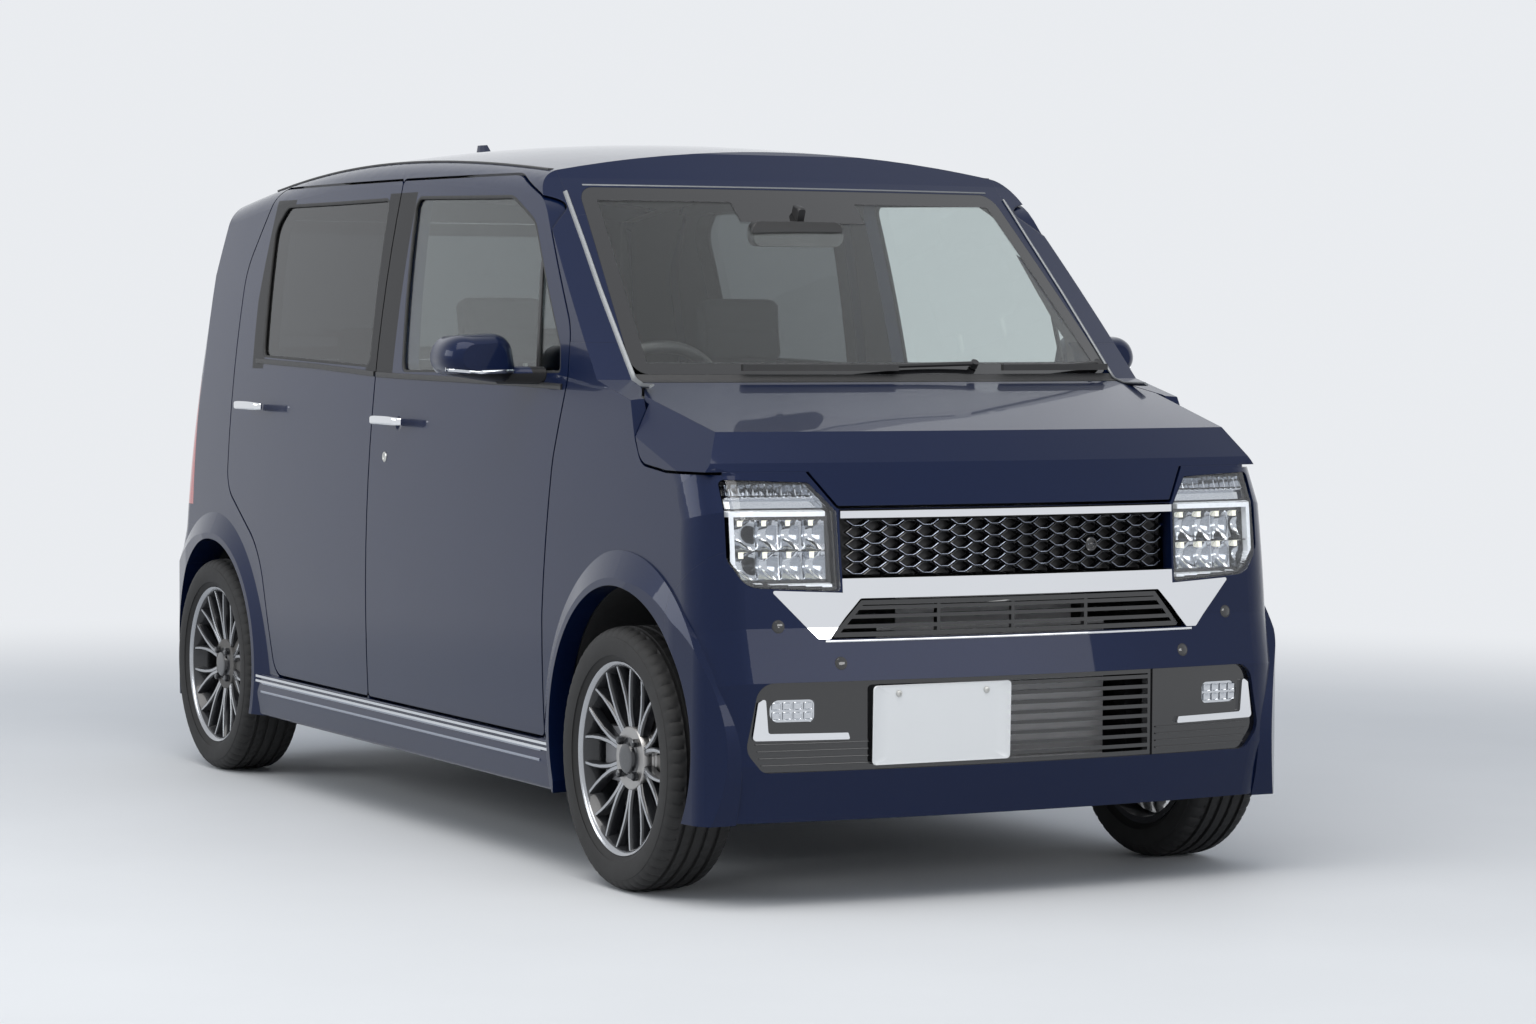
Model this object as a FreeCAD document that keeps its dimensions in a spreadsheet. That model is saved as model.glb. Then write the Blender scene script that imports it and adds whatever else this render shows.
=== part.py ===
import FreeCAD, Part

import math
import os

from FreeCAD import Placement, Rotation, Vector

# Kei car, a five-door tall wagon. Millimetres, front towards -Y, left side towards +X, +Z up,
# origin on the ground at the middle of the car's length and width.

doc = FreeCAD.newDocument("KeiCar")
sheet = doc.addObject("Spreadsheet::Sheet", "Sizes")

# Driving dimensions: alias, value in millimetres or degrees, what it measures.
SIZES = (
    ("total_length", 3395, "bumper to bumper"),
    ("wheelbase", 2520, "front axle to rear axle"),
    ("front_overhang", 452, "front axle to the front bumper"),
    ("track", 1305, "between the middles of the two tyres of an axle"),
    ("side_reach", 723.5, "half width of the doors at their widest"),
    ("arch_reach", 737.5, "half width over the arch lips"),
    ("roof_height", 1640, "ground to the crown of the roof"),
    ("fin_height", 1675, "ground to the tip of the aerial fin"),
    ("sill_height", 176, "ground to the underside of the sills"),
    ("belt_height", 1060, "ground to the foot of the side windows"),
    ("widest_height", 560, "ground to the widest line of the doors"),
    ("roof_edge_radius", 75, "rounding between the side and the roof"),
    ("nose_corner_radius", 110, "rounding of the front corners in plan"),
    ("tail_corner_radius", 90, "rounding of the rear corners in plan"),
    ("door_wall", 46, "thickness of a door"),
    ("frame_wall", 74, "thickness of the side frame with its inner flange"),
    ("hood_wall", 28, "thickness of the hood"),
    ("bumper_wall", 34, "thickness of a bumper with its backing"),
    ("fender_wall", 30, "thickness of a fender with its edge flanges"),
    ("roof_wall", 34, "thickness of the roof with its lining"),
    ("tailgate_wall", 46, "thickness of the tailgate"),
    ("glass_wall", 4, "thickness of the windows"),
    ("glass_inset", 7, "depth of the door glass below the door skin"),
    ("moving_gap", 6, "gap round a door or a lid"),
    ("seat_gap", 0.3, "clearance between a fixed piece and its seat"),
    ("flange_reach", 26, "overlap of the side frame behind a door edge"),
    ("tyre_radius", 281, "outer radius of a tyre"),
    ("tyre_width", 165, "width of a tyre over its side walls"),
    ("rim_radius", 207.5, "outer radius of a rim flange"),
    ("rim_width", 140, "width of a rim over its flanges"),
    ("rim_wall", 6, "thickness of the rim barrel"),
    ("hub_radius", 68, "radius of the rim's hub plate"),
    ("hub_plate", 34, "thickness of the rim's hub plate"),
    ("lug_circle", 50, "radius of the circle through the lug nuts"),
    ("lug_radius", 9.5, "radius of a lug nut"),
    ("spoke_pairs", 10, "number of forked spokes in a rim"),
    ("disc_radius", 131, "radius of a front brake disc"),
    ("disc_wall", 20, "thickness of a front brake disc"),
    ("drum_radius", 105, "radius of a rear brake drum"),
    ("front_arch_radius", 328, "radius of a front wheel arch"),
    ("front_arch_lift", 40, "height of a front arch centre above its axle"),
    ("rear_arch_radius", 321, "radius of a rear wheel arch"),
    ("rear_arch_lift", 15, "height of a rear arch centre above its axle"),
    ("floor_height", 205, "ground to the underside of the floor"),
    ("floor_wall", 24, "thickness of the floor"),
    ("bulkhead_place", -1010, "front face of the bulkhead along the car"),
    ("seat_width", 500, "width of a front seat"),
    ("steering_wheel_radius", 182, "radius of the steering wheel's rim"),
    ("tailgate_edge", 14, "thickness of the tailgate's edge"),
    ("tailgate_step", 16, "how far the tailgate's inner panel stands back from its edge"),
    ("spoiler_thickness", 22, "thickness of the spoiler above the tailgate's window"),
    ("cup_radius", 50, "radius of the dish behind each door handle"),
    ("cup_depth", 16, "depth of the dish behind each door handle"),
)
for row, (alias, value, meaning) in enumerate(SIZES, start=1):
    sheet.set(f"A{row}", meaning)
    sheet.set(f"B{row}", str(value))
    sheet.setAlias(f"B{row}", alias)
doc.recompute()


def size(alias):
    """Gives the value of one cell of the sheet as a number."""
    return float(getattr(sheet, alias))


NOSE = -size("total_length") / 2
TAIL = size("total_length") / 2
FRONT_AXLE = NOSE + size("front_overhang")
REAR_AXLE = FRONT_AXLE + size("wheelbase")
HUB_HEIGHT = size("tyre_radius")
HALF_TRACK = size("track") / 2
SIDE = size("side_reach")
GROUND_EDGE = size("sill_height")
BELT = size("belt_height")
ROOF = size("roof_height")
GAP = size("moving_gap")
SEAT = size("seat_gap")
FAR = 2000.0
SIDES = (("right", -1), ("left", 1))


# Helpers for outlines and solids.

def rounded(points):
    """Makes the edges of a closed outline from (u, v, radius) corners, as a list of 2-D lines and arcs."""
    starts, ends, middles = [], [], []
    count = len(points)
    for index, (u, v, radius) in enumerate(points):
        before = points[index - 1]
        after = points[(index + 1) % count]
        corner = Vector(u, v, 0)
        back = (Vector(before[0], before[1], 0) - corner).normalize()
        ahead = (Vector(after[0], after[1], 0) - corner).normalize()
        if radius <= 0:
            starts.append(corner)
            ends.append(corner)
            middles.append(None)
            continue
        half = back.getAngle(ahead) / 2
        reach = radius / math.tan(half)
        bisector = (back + ahead).normalize()
        centre = corner + bisector * (radius / math.sin(half))
        starts.append(corner + back * reach)
        ends.append(corner + ahead * reach)
        middles.append(centre - bisector * radius)
    pieces = []
    for index in range(count):
        if middles[index] is not None:
            pieces.append((starts[index], middles[index], ends[index]))
        nxt = (index + 1) % count
        if ends[index].distanceToPoint(starts[nxt]) > 1e-4:
            pieces.append((ends[index], None, starts[nxt]))
    return pieces


def outline_face(points, place, grow=0.0):
    """Makes a face from a rounded outline, each corner put in space by place(u, v)."""
    edges = []
    for start, middle, end in rounded(points):
        first, last = place(start.x, start.y), place(end.x, end.y)
        if middle is None:
            edges.append(Part.LineSegment(first, last).toShape())
        else:
            edges.append(Part.Arc(first, place(middle.x, middle.y), last).toShape())
    face = Part.Face(Part.Wire(edges))
    if grow:
        face = face.makeOffset2D(grow)
    return face


def side_prism(points, low, high, grow=0.0):
    """Extrudes an outline of (y, z, radius) corners along the width, from x = low to x = high."""
    face = outline_face(points, lambda u, v: Vector(low, u, v), grow)
    return face.extrude(Vector(high - low, 0, 0))


def front_prism(points, low, high, grow=0.0):
    """Extrudes an outline of (x, z, radius) corners along the length, from y = low to y = high."""
    face = outline_face(points, lambda u, v: Vector(u, low, v), grow)
    return face.extrude(Vector(0, high - low, 0))


def plan_prism(points, low, high, grow=0.0):
    """Extrudes an outline of (x, y, radius) corners upwards, from z = low to z = high."""
    face = outline_face(points, lambda u, v: Vector(u, v, low), grow)
    return face.extrude(Vector(0, 0, high - low))


def both_sides(points):
    """Completes a right-hand half outline of (u, v, radius) corners with its mirror image."""
    return list(points) + [(-u, v, radius) for u, v, radius in reversed(points)]


def box(low, high):
    """Makes a box between two corners."""
    span = [high[axis] - low[axis] for axis in range(3)]
    return Part.makeBox(span[0], span[1], span[2], Vector(*low))


def rod(start, end, radius):
    """Makes a cylinder from one point to another."""
    first, last = Vector(*start), Vector(*end)
    return Part.makeCylinder(radius, first.distanceToPoint(last), first, last - first)


def mirrored(shape):
    """Gives the mirror image of a shape on the other side of the car."""
    return shape.mirror(Vector(0, 0, 0), Vector(1, 0, 0))


def on_side(shape, sign):
    """Gives a shape made for the left side, or its mirror image for the right side."""
    return shape if sign > 0 else mirrored(shape)


def add_piece(name, shape):
    """Adds a shape as a sub-part of its own."""
    piece = doc.addObject("Part::Feature", name)
    piece.Label = name
    solids = shape.Solids
    piece.Shape = solids[0] if len(solids) == 1 else Part.makeCompound(solids)
    piece.Placement = Placement(Vector(0, 0, 0), Rotation())
    return piece


def fused(shapes):
    """Fuses a list of shapes."""
    first, rest = shapes[0], list(shapes[1:])
    return first.fuse(rest).removeSplitter() if rest else first


# Body envelope: a side form lofted along the length, met by a lengthwise profile lofted across the width.

# Stations of the side form: place, door half width under the widest, slope at the belt, roof crown drop.
STATIONS = (
    (-1800, -19.5, 0.125, -140),
    (-1150, -7.5, 0.115, -95),
    (-500, -1.5, 0.105, -34),
    (150, 0.0, 0.100, 0),
    (800, -1.5, 0.105, -12),
    (1450, -9.5, 0.115, -80),
    (1800, -19.5, 0.125, -130),
)
CROWN_RADIUS = 3200.0
UPPER_SIDE_RADIUS = 4500.0

# Lengthwise profile at the middle of the car: place, height, and how far the same line lies
# towards the car's middle at 628 mm from the centre line.
SWEEP_PLACE = 628.0
PROFILE = (
    (NOSE + 25, GROUND_EDGE + 4, 45),
    (NOSE, 300, 45),
    (NOSE, 470, 45),
    (NOSE + 21, 580, 50),
    (NOSE + 42, 820, 52),
    (NOSE + 86, 917, 54),
    (NOSE + 142, 980, 55),
    (-1180, 1080, 105),
    (-655, 1529, 60),
    (-585, 1592, 50),
    (-300, 1720, 40),
    (1250, 1720, 0),
    (1400, 1560, -45),
    (1475, 1500, -50),
    (1602, BELT, -55),
    (1652, 650, -52),
    (TAIL, 560, -50),
    (TAIL, 300, -50),
    (TAIL - 40, GROUND_EDGE + 4, -50),
)


def inset(points, depth):
    """Moves each line of a closed outline inwards by depth. The outline runs clockwise in (y, z)."""
    result = []
    count = len(points)
    for index in range(count):
        p0, p1, p2 = points[index - 1], points[index], points[(index + 1) % count]
        lines = []
        for first, second in ((p0, p1), (p1, p2)):
            du, dv = second[0] - first[0], second[1] - first[1]
            length = math.hypot(du, dv)
            normal = (dv / length, -du / length)
            lines.append((normal, normal[0] * first[0] + normal[1] * first[1] + depth))
        (n1, c1), (n2, c2) = lines
        det = n1[0] * n2[1] - n1[1] * n2[0]
        if abs(det) < 1e-6:
            result.append((p1[0] + n1[0] * depth, p1[1] + n1[1] * depth, p1[2]))
            continue
        u = (c1 * n2[1] - c2 * n1[1]) / det
        v = (n1[0] * c2 - n2[0] * c1) / det
        result.append((u, v, p1[2]))
    return result


def side_section(place, half_width, slope, crown, edge_radius, foot):
    """Makes one cross-section of the side form from arcs that meet in line, and a straight foot."""
    lean = math.atan(slope)
    low = size("widest_height")
    low_radius = (BELT - low) / math.sin(lean)
    low_centre = (half_width - low_radius, low)
    belt_point = (low_centre[0] + low_radius * math.cos(lean), BELT)
    top_centre = (belt_point[0] - UPPER_SIDE_RADIUS * math.cos(lean),
                  BELT - UPPER_SIDE_RADIUS * math.sin(lean))
    crown_centre = (0.0, crown - CROWN_RADIUS)
    # The roof edge arc lies inside both the upper side arc and the crown arc.
    reach_side = UPPER_SIDE_RADIUS - edge_radius
    reach_crown = CROWN_RADIUS - edge_radius
    du, dv = crown_centre[0] - top_centre[0], crown_centre[1] - top_centre[1]
    apart = math.hypot(du, dv)
    along = (reach_side ** 2 - reach_crown ** 2 + apart ** 2) / (2 * apart)
    off = math.sqrt(reach_side ** 2 - along ** 2)
    base = (top_centre[0] + along * du / apart, top_centre[1] + along * dv / apart)
    choices = [(base[0] + turn * off * dv / apart, base[1] - turn * off * du / apart) for turn in (1, -1)]
    edge_centre = max(choices, key=lambda point: point[1])

    def angle(centre, point):
        return math.atan2(point[1] - centre[1], point[0] - centre[0])

    def at(centre, radius, turn):
        return (centre[0] + radius * math.cos(turn), centre[1] + radius * math.sin(turn))

    foot_turn = -math.asin((low - foot) / low_radius)
    side_turn = angle(top_centre, edge_centre)
    crown_turn = angle(crown_centre, edge_centre)
    foot_point = at(low_centre, low_radius, foot_turn)
    side_top = at(top_centre, UPPER_SIDE_RADIUS, side_turn)
    crown_side = at(crown_centre, CROWN_RADIUS, crown_turn)
    arcs = (
        (foot_point, at(low_centre, low_radius, (foot_turn + lean) / 2), belt_point),
        (belt_point, at(top_centre, UPPER_SIDE_RADIUS, (lean + side_turn) / 2), side_top),
        (side_top, at(edge_centre, edge_radius, (side_turn + crown_turn) / 2), crown_side),
    )

    def put(point, sign):
        return Vector(sign * point[0], place, point[1])

    edges = [Part.LineSegment(put(foot_point, -1), put(foot_point, 1)).toShape()]
    edges += [Part.Arc(put(a, 1), put(b, 1), put(c, 1)).toShape() for a, b, c in arcs]
    edges.append(Part.Arc(put(crown_side, 1), Vector(0, place, crown), put(crown_side, -1)).toShape())
    edges += [Part.Arc(put(c, -1), put(b, -1), put(a, -1)).toShape() for a, b, c in reversed(arcs)]
    return Part.Wire(edges)


def side_form(depth):
    """Lofts the side form, every face moved inwards by depth."""
    wires = []
    for place, narrower, slope, drop in STATIONS:
        wires.append(side_section(place, SIDE + narrower - depth, slope, ROOF + drop - depth,
                                  size("roof_edge_radius") - min(depth, 40), GROUND_EDGE))
    return Part.makeLoft(wires, True, False)


def profile_form(depth):
    """Lofts the lengthwise profile across the width, every face moved inwards by depth."""
    points = inset(PROFILE, depth) if depth else PROFILE
    wires = []
    for across in (-800.0, -400.0, 0.0, 400.0, 800.0):
        corners = [Vector(across, u + sweep * (across / SWEEP_PLACE) ** 2, v) for u, v, sweep in points]
        wires.append(Part.makePolygon(corners + [corners[0]]))
    return Part.makeLoft(wires, True, False)


made_envelopes = {}


def envelope(depth):
    """Gives the body's outer form, or the form that lies depth below it."""
    if depth not in made_envelopes:
        made_envelopes[depth] = side_form(depth).common(profile_form(depth))
    return made_envelopes[depth]


def corner_edges(shape, front):
    """Finds the upright corner edges of the nose, up to the hood, or of the tail, up to the belt."""
    found = []
    for edge in shape.Edges:
        bounds = edge.BoundBox
        upright = bounds.ZMax - bounds.ZMin > max(4, 2 * (bounds.XMax - bounds.XMin))
        upright = upright and abs(bounds.XMin + bounds.XMax) > 1000
        if front and upright and bounds.YMax < -1400 and bounds.ZMax < 985:
            found.append(edge)
        if not front and upright and bounds.YMin > 1250 and bounds.ZMax < BELT + 10:
            found.append(edge)
    return found


def rounded_envelope(shouldered):
    """Rounds the corners of the nose and the tail in plan, with or without the hood's shoulders."""
    shape = envelope(0.0)
    if shouldered:
        shape = shape.cut([shoulder_cut(sign) for name, sign in SIDES])
    shape = shape.makeFillet(size("nose_corner_radius"), corner_edges(shape, True))
    return shape.makeFillet(size("tail_corner_radius"), corner_edges(shape, False))


# Hood shoulder: the slanted band between the hood's top and its side, one plane on each side.
SHOULDER = (Vector(628, -1501, 977), Vector(642, -1130, 1075), Vector(706, -1450, 893))


def shoulder_cut(sign, sunk=0.0):
    """Makes the wedge that is taken off above the hood's shoulder, or above a plane that lies sunk below it."""
    first, second, third = SHOULDER
    normal = (second - first).cross(third - first).normalize()
    if normal.z < 0:
        normal = normal * -1
    along = (second - first).normalize()
    across = normal.cross(along)
    start = first - along * 400 - across * 250 - normal * sunk
    corners = [start, start + along * 760, start + along * 760 + across * 500, start + across * 500]
    wedge = Part.Face(Part.makePolygon(corners + [corners[0]])).extrude(normal * 200)
    return on_side(wedge, sign)


def arch_flare(place, lift, radius):
    """Makes the swelling round a wheel arch, on the left side, as a full ring about the arch centre."""
    reach = size("arch_reach")
    inner = SIDE - 90
    rows = (
        (radius - 30, inner), (radius - 30, reach - 4), (radius, reach), (radius + 16, reach - 1),
        (radius + 46, SIDE + 1), (radius + 74, SIDE - 10), (radius + 74, inner),
    )
    centre = Vector(0, place, HUB_HEIGHT + lift)
    corners = [centre + Vector(x, 0, r) for r, x in rows]
    ring = Part.Face(Part.makePolygon(corners + [corners[0]]))
    return ring.revolve(centre, Vector(1, 0, 0), 360)


FRONT_ARCH = (FRONT_AXLE, size("front_arch_lift"), size("front_arch_radius"))
REAR_ARCH = (REAR_AXLE, size("rear_arch_lift"), size("rear_arch_radius"))


def arch_hole(arch, extra=0.0, inner=0.0):
    """Makes the cylinder that a wheel arch cuts through both sides of the body."""
    place, lift, radius = arch
    reach = 2 * size("arch_reach")
    hole = Part.makeCylinder(radius + extra, reach, Vector(-reach / 2, place, HUB_HEIGHT + lift), Vector(1, 0, 0))
    if inner:
        hole = hole.cut(box((-inner, place - 600, 0), (inner, place + 600, 900)))
    return hole


SILL_TOP = 286.0
SILL_INNER = 650.0
SILL_REACH = 731.0


def sill_form(sign):
    """Makes the skirt that swells out of the sill between the arches."""
    corners = ((SIDE - 50, GROUND_EDGE, 0), (SILL_REACH - 8, GROUND_EDGE, 10), (SILL_REACH, 236, 60),
               (SILL_REACH - 6, SILL_TOP - 3, 4), (SIDE - 8, SILL_TOP, 0), (SIDE - 50, SILL_TOP, 0))
    skirt = front_prism(corners, FRONT_AXLE + 200, REAR_AXLE - 200)
    return on_side(skirt, sign)


# How far out the arch swellings reach, seen from above, each corner (x, y, radius).
FLARE_PLAN = (
    (600, -1664, 0), (664, -1652, 30), (712, -1596, 60), (726, -1500, 200), (size("arch_reach"), -1290, 200),
    (size("arch_reach"), 1330, 200), (726, 1500, 200), (712, 1598, 60), (666, 1652, 30), (600, 1666, 0),
)


def body_form(shouldered):
    """Adds the arch swellings and the skirts to the rounded envelope, and opens the wheel arches."""
    form = rounded_envelope(shouldered)
    limit = plan_prism(FLARE_PLAN, GROUND_EDGE, 900)
    for arch in (FRONT_ARCH, REAR_ARCH):
        swelling = arch_flare(*arch).common(limit)
        for name, sign in SIDES:
            form = form.fuse(on_side(swelling, sign))
    for name, sign in SIDES:
        form = form.fuse(sill_form(sign))
    for arch in (FRONT_ARCH, REAR_ARCH):
        form = form.cut(arch_hole(arch, inner=410))
    return form


outer = body_form(True)


# Inner forms: each wall of the body ends on one of them.
frame_clear = envelope(size("frame_wall") + SEAT)
liner_limit = envelope(size("bumper_wall") + SEAT)
left_outer = outer.common(box((0, -FAR, 0), (FAR, FAR, FAR)))
fender_outer = body_form(False).common(box((0, -FAR, 0), (FAR, FAR, FAR)))

# Outlines in side view, each corner (y, z, radius), seen from the left side.
SPLIT = 190.0
FRONT_DOOR = (
    (-838, 290, 12), (-838, 560, 300), (-864, 900, 300), (-905, 1080, 120), (-892, 1190, 120),
    (-655, 1478, 130), (-470, 1538, 160), (SPLIT, 1541, 12), (SPLIT, 290, 12),
)
REAR_DOOR = (
    (SPLIT + GAP, 290, 12), (SPLIT + GAP, 1541, 12), (1075, 1541, 60), (1214, 1330, 160),
    (1200, 760, 90), (935, 606, 240), (838, 290, 60),
)
FRONT_WINDOW = (
    (-868, 1092, 10), (-853, 1150, 30), (-625, 1430, 90), (-480, 1490, 120), (92, 1499, 26), (30, 1080, 26),
)
REAR_WINDOW = ((235, 1088, 26), (255, 1499, 26), (985, 1497, 60), (1050, 1440, 60), (1000, 1104, 30))
FENDER = (
    (-838 - GAP, SILL_TOP, 0), (-838 - GAP, 560, 300), (-864 - GAP, 900, 300), (-905 - GAP, 1080, 60),
    (-899, 1160, 0), (-1137, 1160, 10), (-1206, 1085, 10), (-1262, 960, 60), (-1300, 905, 60),
    (-1420, 893, 0), (-1800, 893, 0), (-1800, 738, 0), (-1600, 738, 30), (-1475, 648, 0),
    (-1475, 300, 0), (-1100, 200, 0), (-900, SILL_TOP, 0),
)
HOOD_SIDE = (
    (-1040, 1250, 0), (-1137 - GAP, 1166, 10), (-1206 - GAP, 1085, 10), (-1262 - GAP, 960, 60),
    (-1300, 905 + GAP, 60), (-1420, 893 + GAP, 0), (-1800, 893 + GAP, 0), (-1800, 1250, 0),
)
FRONT_BUMPER = (
    (-1800, 150, 0), (-1800, 900, 0), (-1560, 900, 0), (-1560, 738, 0), (-1475, 648 - SEAT, 0), (-1475, 150, 0),
)
FENDER_NOSE = ((-1800, 738, 0), (-1600, 738, 30), (-1475, 648, 0), (-1475, 950, 0), (-1800, 950, 0))
REAR_BUMPER = ((1510, 150, 0), (1478, 645, 0), (1800, 645, 0), (1800, 150, 0))

# Outlines in front view, each corner (x, z, radius), right-hand half of the picture plane first.
WINDSHIELD = both_sides(((608, 1092, 30), (540, 1508, 40)))
HEADLIGHT = ((-650, 884, 12), (-462, 877, 8), (-412, 818, 8), (-408, 653, 8), (-612, 664, 50), (-650, 720, 30))
GRILLE = both_sides(((406, 822, 4), (404, 680, 4)))
GARNISH = both_sides(((404, 680, 0), (404, 651, 0), (562, 658, 4), (462, 556, 6), (436, 556, 4), (400, 600, 10),
                      (364, 638, 6)))
HOOD_TOP = both_sides(((600, -1000, 0), (600, -1112, 0), (650, -1214, 0), (650, -1300, 0)))
HOOD_NOSE = both_sides(((412 - GAP, 829, 6), (461 - GAP, 893 + GAP, 0), (461, 960, 0)))
TAILGATE = both_sides(((520, 655, 50), (586, 760, 60), (598, BELT, 200), (530, 1600, 30)))
TAILGATE_WINDOW = both_sides(((560, 1090, 50), (505, 1470, 60)))
TAIL_LAMP = ((580, 700, 0), (780, 700, 0), (780, 1040, 0), (580, 1040, 0))
ROOF_REACH = 572.0
ROOF_END = 1200.0
ROOF_PLAN = both_sides(((ROOF_REACH, -700, 0), (ROOF_REACH, 1412, 0)))


def wall(form, prism, cuts, depth):
    """Cuts a wall of the given depth out of a form, inside a prism and outside the cuts."""
    return form.common(prism).cut(list(cuts) + [envelope(depth)])


def pane(prism, top, thickness):
    """Makes a window pane inside a prism, its outer face at a depth below the body's form."""
    return envelope(top).common(prism).cut(envelope(top + thickness))


def biggest(shape, least=2000.0):
    """Drops crumbs from a cut and keeps the solids that matter."""
    solids = [solid for solid in shape.Solids if solid.Volume > least]
    return solids[0] if len(solids) == 1 else Part.makeCompound(solids)


# Lamp, grille and plan cutters that several panels share.
headlight_cuts = [front_prism(HEADLIGHT, -1750, -1480)]
headlight_cuts.append(mirrored(headlight_cuts[0]))
tail_lamp_cuts = [front_prism(TAIL_LAMP, 1480, 1720)]
tail_lamp_cuts.append(mirrored(tail_lamp_cuts[0]))
LEFT = (500, 800)
LEFT_CORNER = (640, 800)


def swept_plan(middle, sweep, far, low, high):
    """Makes an upright block whose one face follows the body's sweep across the width."""
    reach = 800.0
    edge = middle + sweep * (reach / SWEEP_PLACE) ** 2
    curve = Part.Arc(Vector(-reach, edge, low), Vector(0, middle, low), Vector(reach, edge, low)).toShape()
    lines = [Part.LineSegment(Vector(reach, edge, low), Vector(reach, far, low)).toShape(),
             Part.LineSegment(Vector(reach, far, low), Vector(-reach, far, low)).toShape(),
             Part.LineSegment(Vector(-reach, far, low), Vector(-reach, edge, low)).toShape()]
    return Part.Face(Part.Wire([curve] + lines)).extrude(Vector(0, 0, high - low))


HOOD_REAR = (-1196, 100)
COWL_REACH = 606.0
hood_room = swept_plan(HOOD_REAR[0], HOOD_REAR[1], -1800, 600, 1300)
cowl_room = swept_plan(HOOD_REAR[0] + GAP, HOOD_REAR[1], 0, 600, 1300)


def hood():
    """Hood: a clamshell lid with its shoulders and its upright front band."""
    prisms = [side_prism(HOOD_SIDE, -800, 800), plan_prism(HOOD_TOP, 900, 1250), front_prism(HOOD_NOSE, -1750, -1540)]
    region = fused(prisms).common(hood_room)
    depth = size("hood_wall")
    inner = envelope(depth).cut([shoulder_cut(sign, depth) for name, sign in SIDES])
    return biggest(outer.common(region).cut(inner))


def fender():
    """Front fender, from the bumper to the front door, with its share of the arch lip."""
    nose = box((0, -1800, 0), (640, -1500, 900))
    cowl_side = box((0, -1260, 980), (COWL_REACH + SEAT, -900, 1300))
    beside_hood = plan_prism(HOOD_TOP, 900, 1250, GAP)
    cuts = [nose, cowl_side, beside_hood, front_prism(WINDSHIELD, -1400, -400)] + headlight_cuts
    return biggest(wall(fender_outer, side_prism(FENDER, *LEFT), cuts, size("fender_wall")))


# Door handles: place along the car and height of each.
HANDLE_FRONT = (20, 964)
HANDLE_REAR = (968, 978)


def door(points, window, handle):
    """A side door with its window cut out and the dish behind its handle."""
    rail = box((0, -FAR, 1300), (ROOF_REACH + GAP, FAR, FAR))
    reach, depth = size("cup_radius"), size("cup_depth")
    ball = (reach ** 2 + depth ** 2) / (2 * depth)
    dish = Part.makeSphere(ball, Vector(SIDE - 2 + ball - depth, *handle))
    cuts = [side_prism(window, *LEFT), rail, dish, side_form(size("door_wall"))]
    return biggest(wall(left_outer, side_prism(points, *LEFT), cuts, size("door_wall")))


def door_glass(window):
    """The fixed pane of a side door, set below the skin."""
    return biggest(pane(side_prism(window, *LEFT, -SEAT), size("glass_inset"), size("glass_wall")), 200.0)


def side_frame():
    """Side frame: pillars, sill, quarter panel and roof rail in one stamping, with the door flanges."""
    region = side_prism(((-1215, 150, 0), (-1215, 1700, 0), (1800, 1700, 0), (1800, 150, 0)), *LEFT)
    below_door = envelope(size("door_wall") + 2.0)
    cuts = []
    for points in (FRONT_DOOR, REAR_DOOR):
        cuts.append(side_prism(points, *LEFT, GAP).cut(below_door))
        cuts.append(side_prism(points, *LEFT, -size("flange_reach")))
    behind_fender = side_prism(((-1216, 100, 0), (-1216, 1100, 0), (-1150, 1100, 0), (-944, 1060, 0),
                                (-944, 100, 0)), *LEFT)
    cuts += [plan_prism(ROOF_PLAN, 1300, 1800), side_prism(FENDER, *LEFT), side_prism(HOOD_SIDE, *LEFT),
             side_prism(REAR_BUMPER, *LEFT), front_prism(WINDSHIELD, -1400, -400),
             front_prism(TAILGATE, ROOF_END, 1800, GAP), box((0, -1800, 100), (800, -940, SILL_TOP)), behind_fender,
             box((0, -1800, 100), (SILL_INNER, 1800, 330))]
    return biggest(wall(left_outer, region, cuts + tail_lamp_cuts, size("frame_wall")), 20000.0)


# Levels of the aerial fin: where it starts and ends, its half width and its height.
FIN_LEVELS = ((1032, 1182, 24, -105), (1060, 1182, 19, -52), (1092, 1183, 12, -24), (1124, 1184, 5, 0))


def aerial_fin():
    """Aerial fin: it leans back and narrows upwards."""
    wires = []
    for front, back, half, level in FIN_LEVELS:
        long = back - front
        row = [(0, 0), (0.55, 0.3), (0.95, 0.62), (1, 0.85), (0.6, 1)]
        corners = [Vector(half * u, front + long * v, size("fin_height") + level) for u, v in row]
        corners += [Vector(-half * u, front + long * v, size("fin_height") + level) for u, v in reversed(row[1:])]
        wires.append(Part.makePolygon(corners + [corners[0]]))
    return Part.makeLoft(wires, True, True)


def spoiler():
    """Spoiler that carries the roof's line on behind the tailgate's window."""
    corners = both_sides(((504, 1330, 0), (498, 1545, 60)))
    blade = side_form(1.0).common(plan_prism(corners, 1300, 1700))
    return blade.cut(side_form(1.0 + size("spoiler_thickness")))


def roof():
    """Roof panel with the header above the windshield."""
    cuts = [front_prism(WINDSHIELD, -1400, -400), front_prism(TAILGATE, ROOF_END, 1800, GAP)]
    panel = biggest(wall(outer, plan_prism(ROOF_PLAN, 1300, 1800), cuts, size("roof_wall")))
    return panel.fuse(aerial_fin().cut(envelope(size("roof_wall") / 2)))


def tailgate():
    """Tailgate with its window cut out."""
    window = front_prism(TAILGATE_WINDOW, ROOF_END, 1800)
    lid = biggest(wall(outer, front_prism(TAILGATE, ROOF_END + GAP, 1800), [window], size("tailgate_wall")))
    inside = front_prism(TAILGATE, ROOF_END, 1800, -size("tailgate_step"))
    lid = lid.cut(envelope(size("tailgate_edge")).cut(inside))
    return biggest(lid.fuse(spoiler().cut(envelope(size("tailgate_edge") / 2))))


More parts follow.
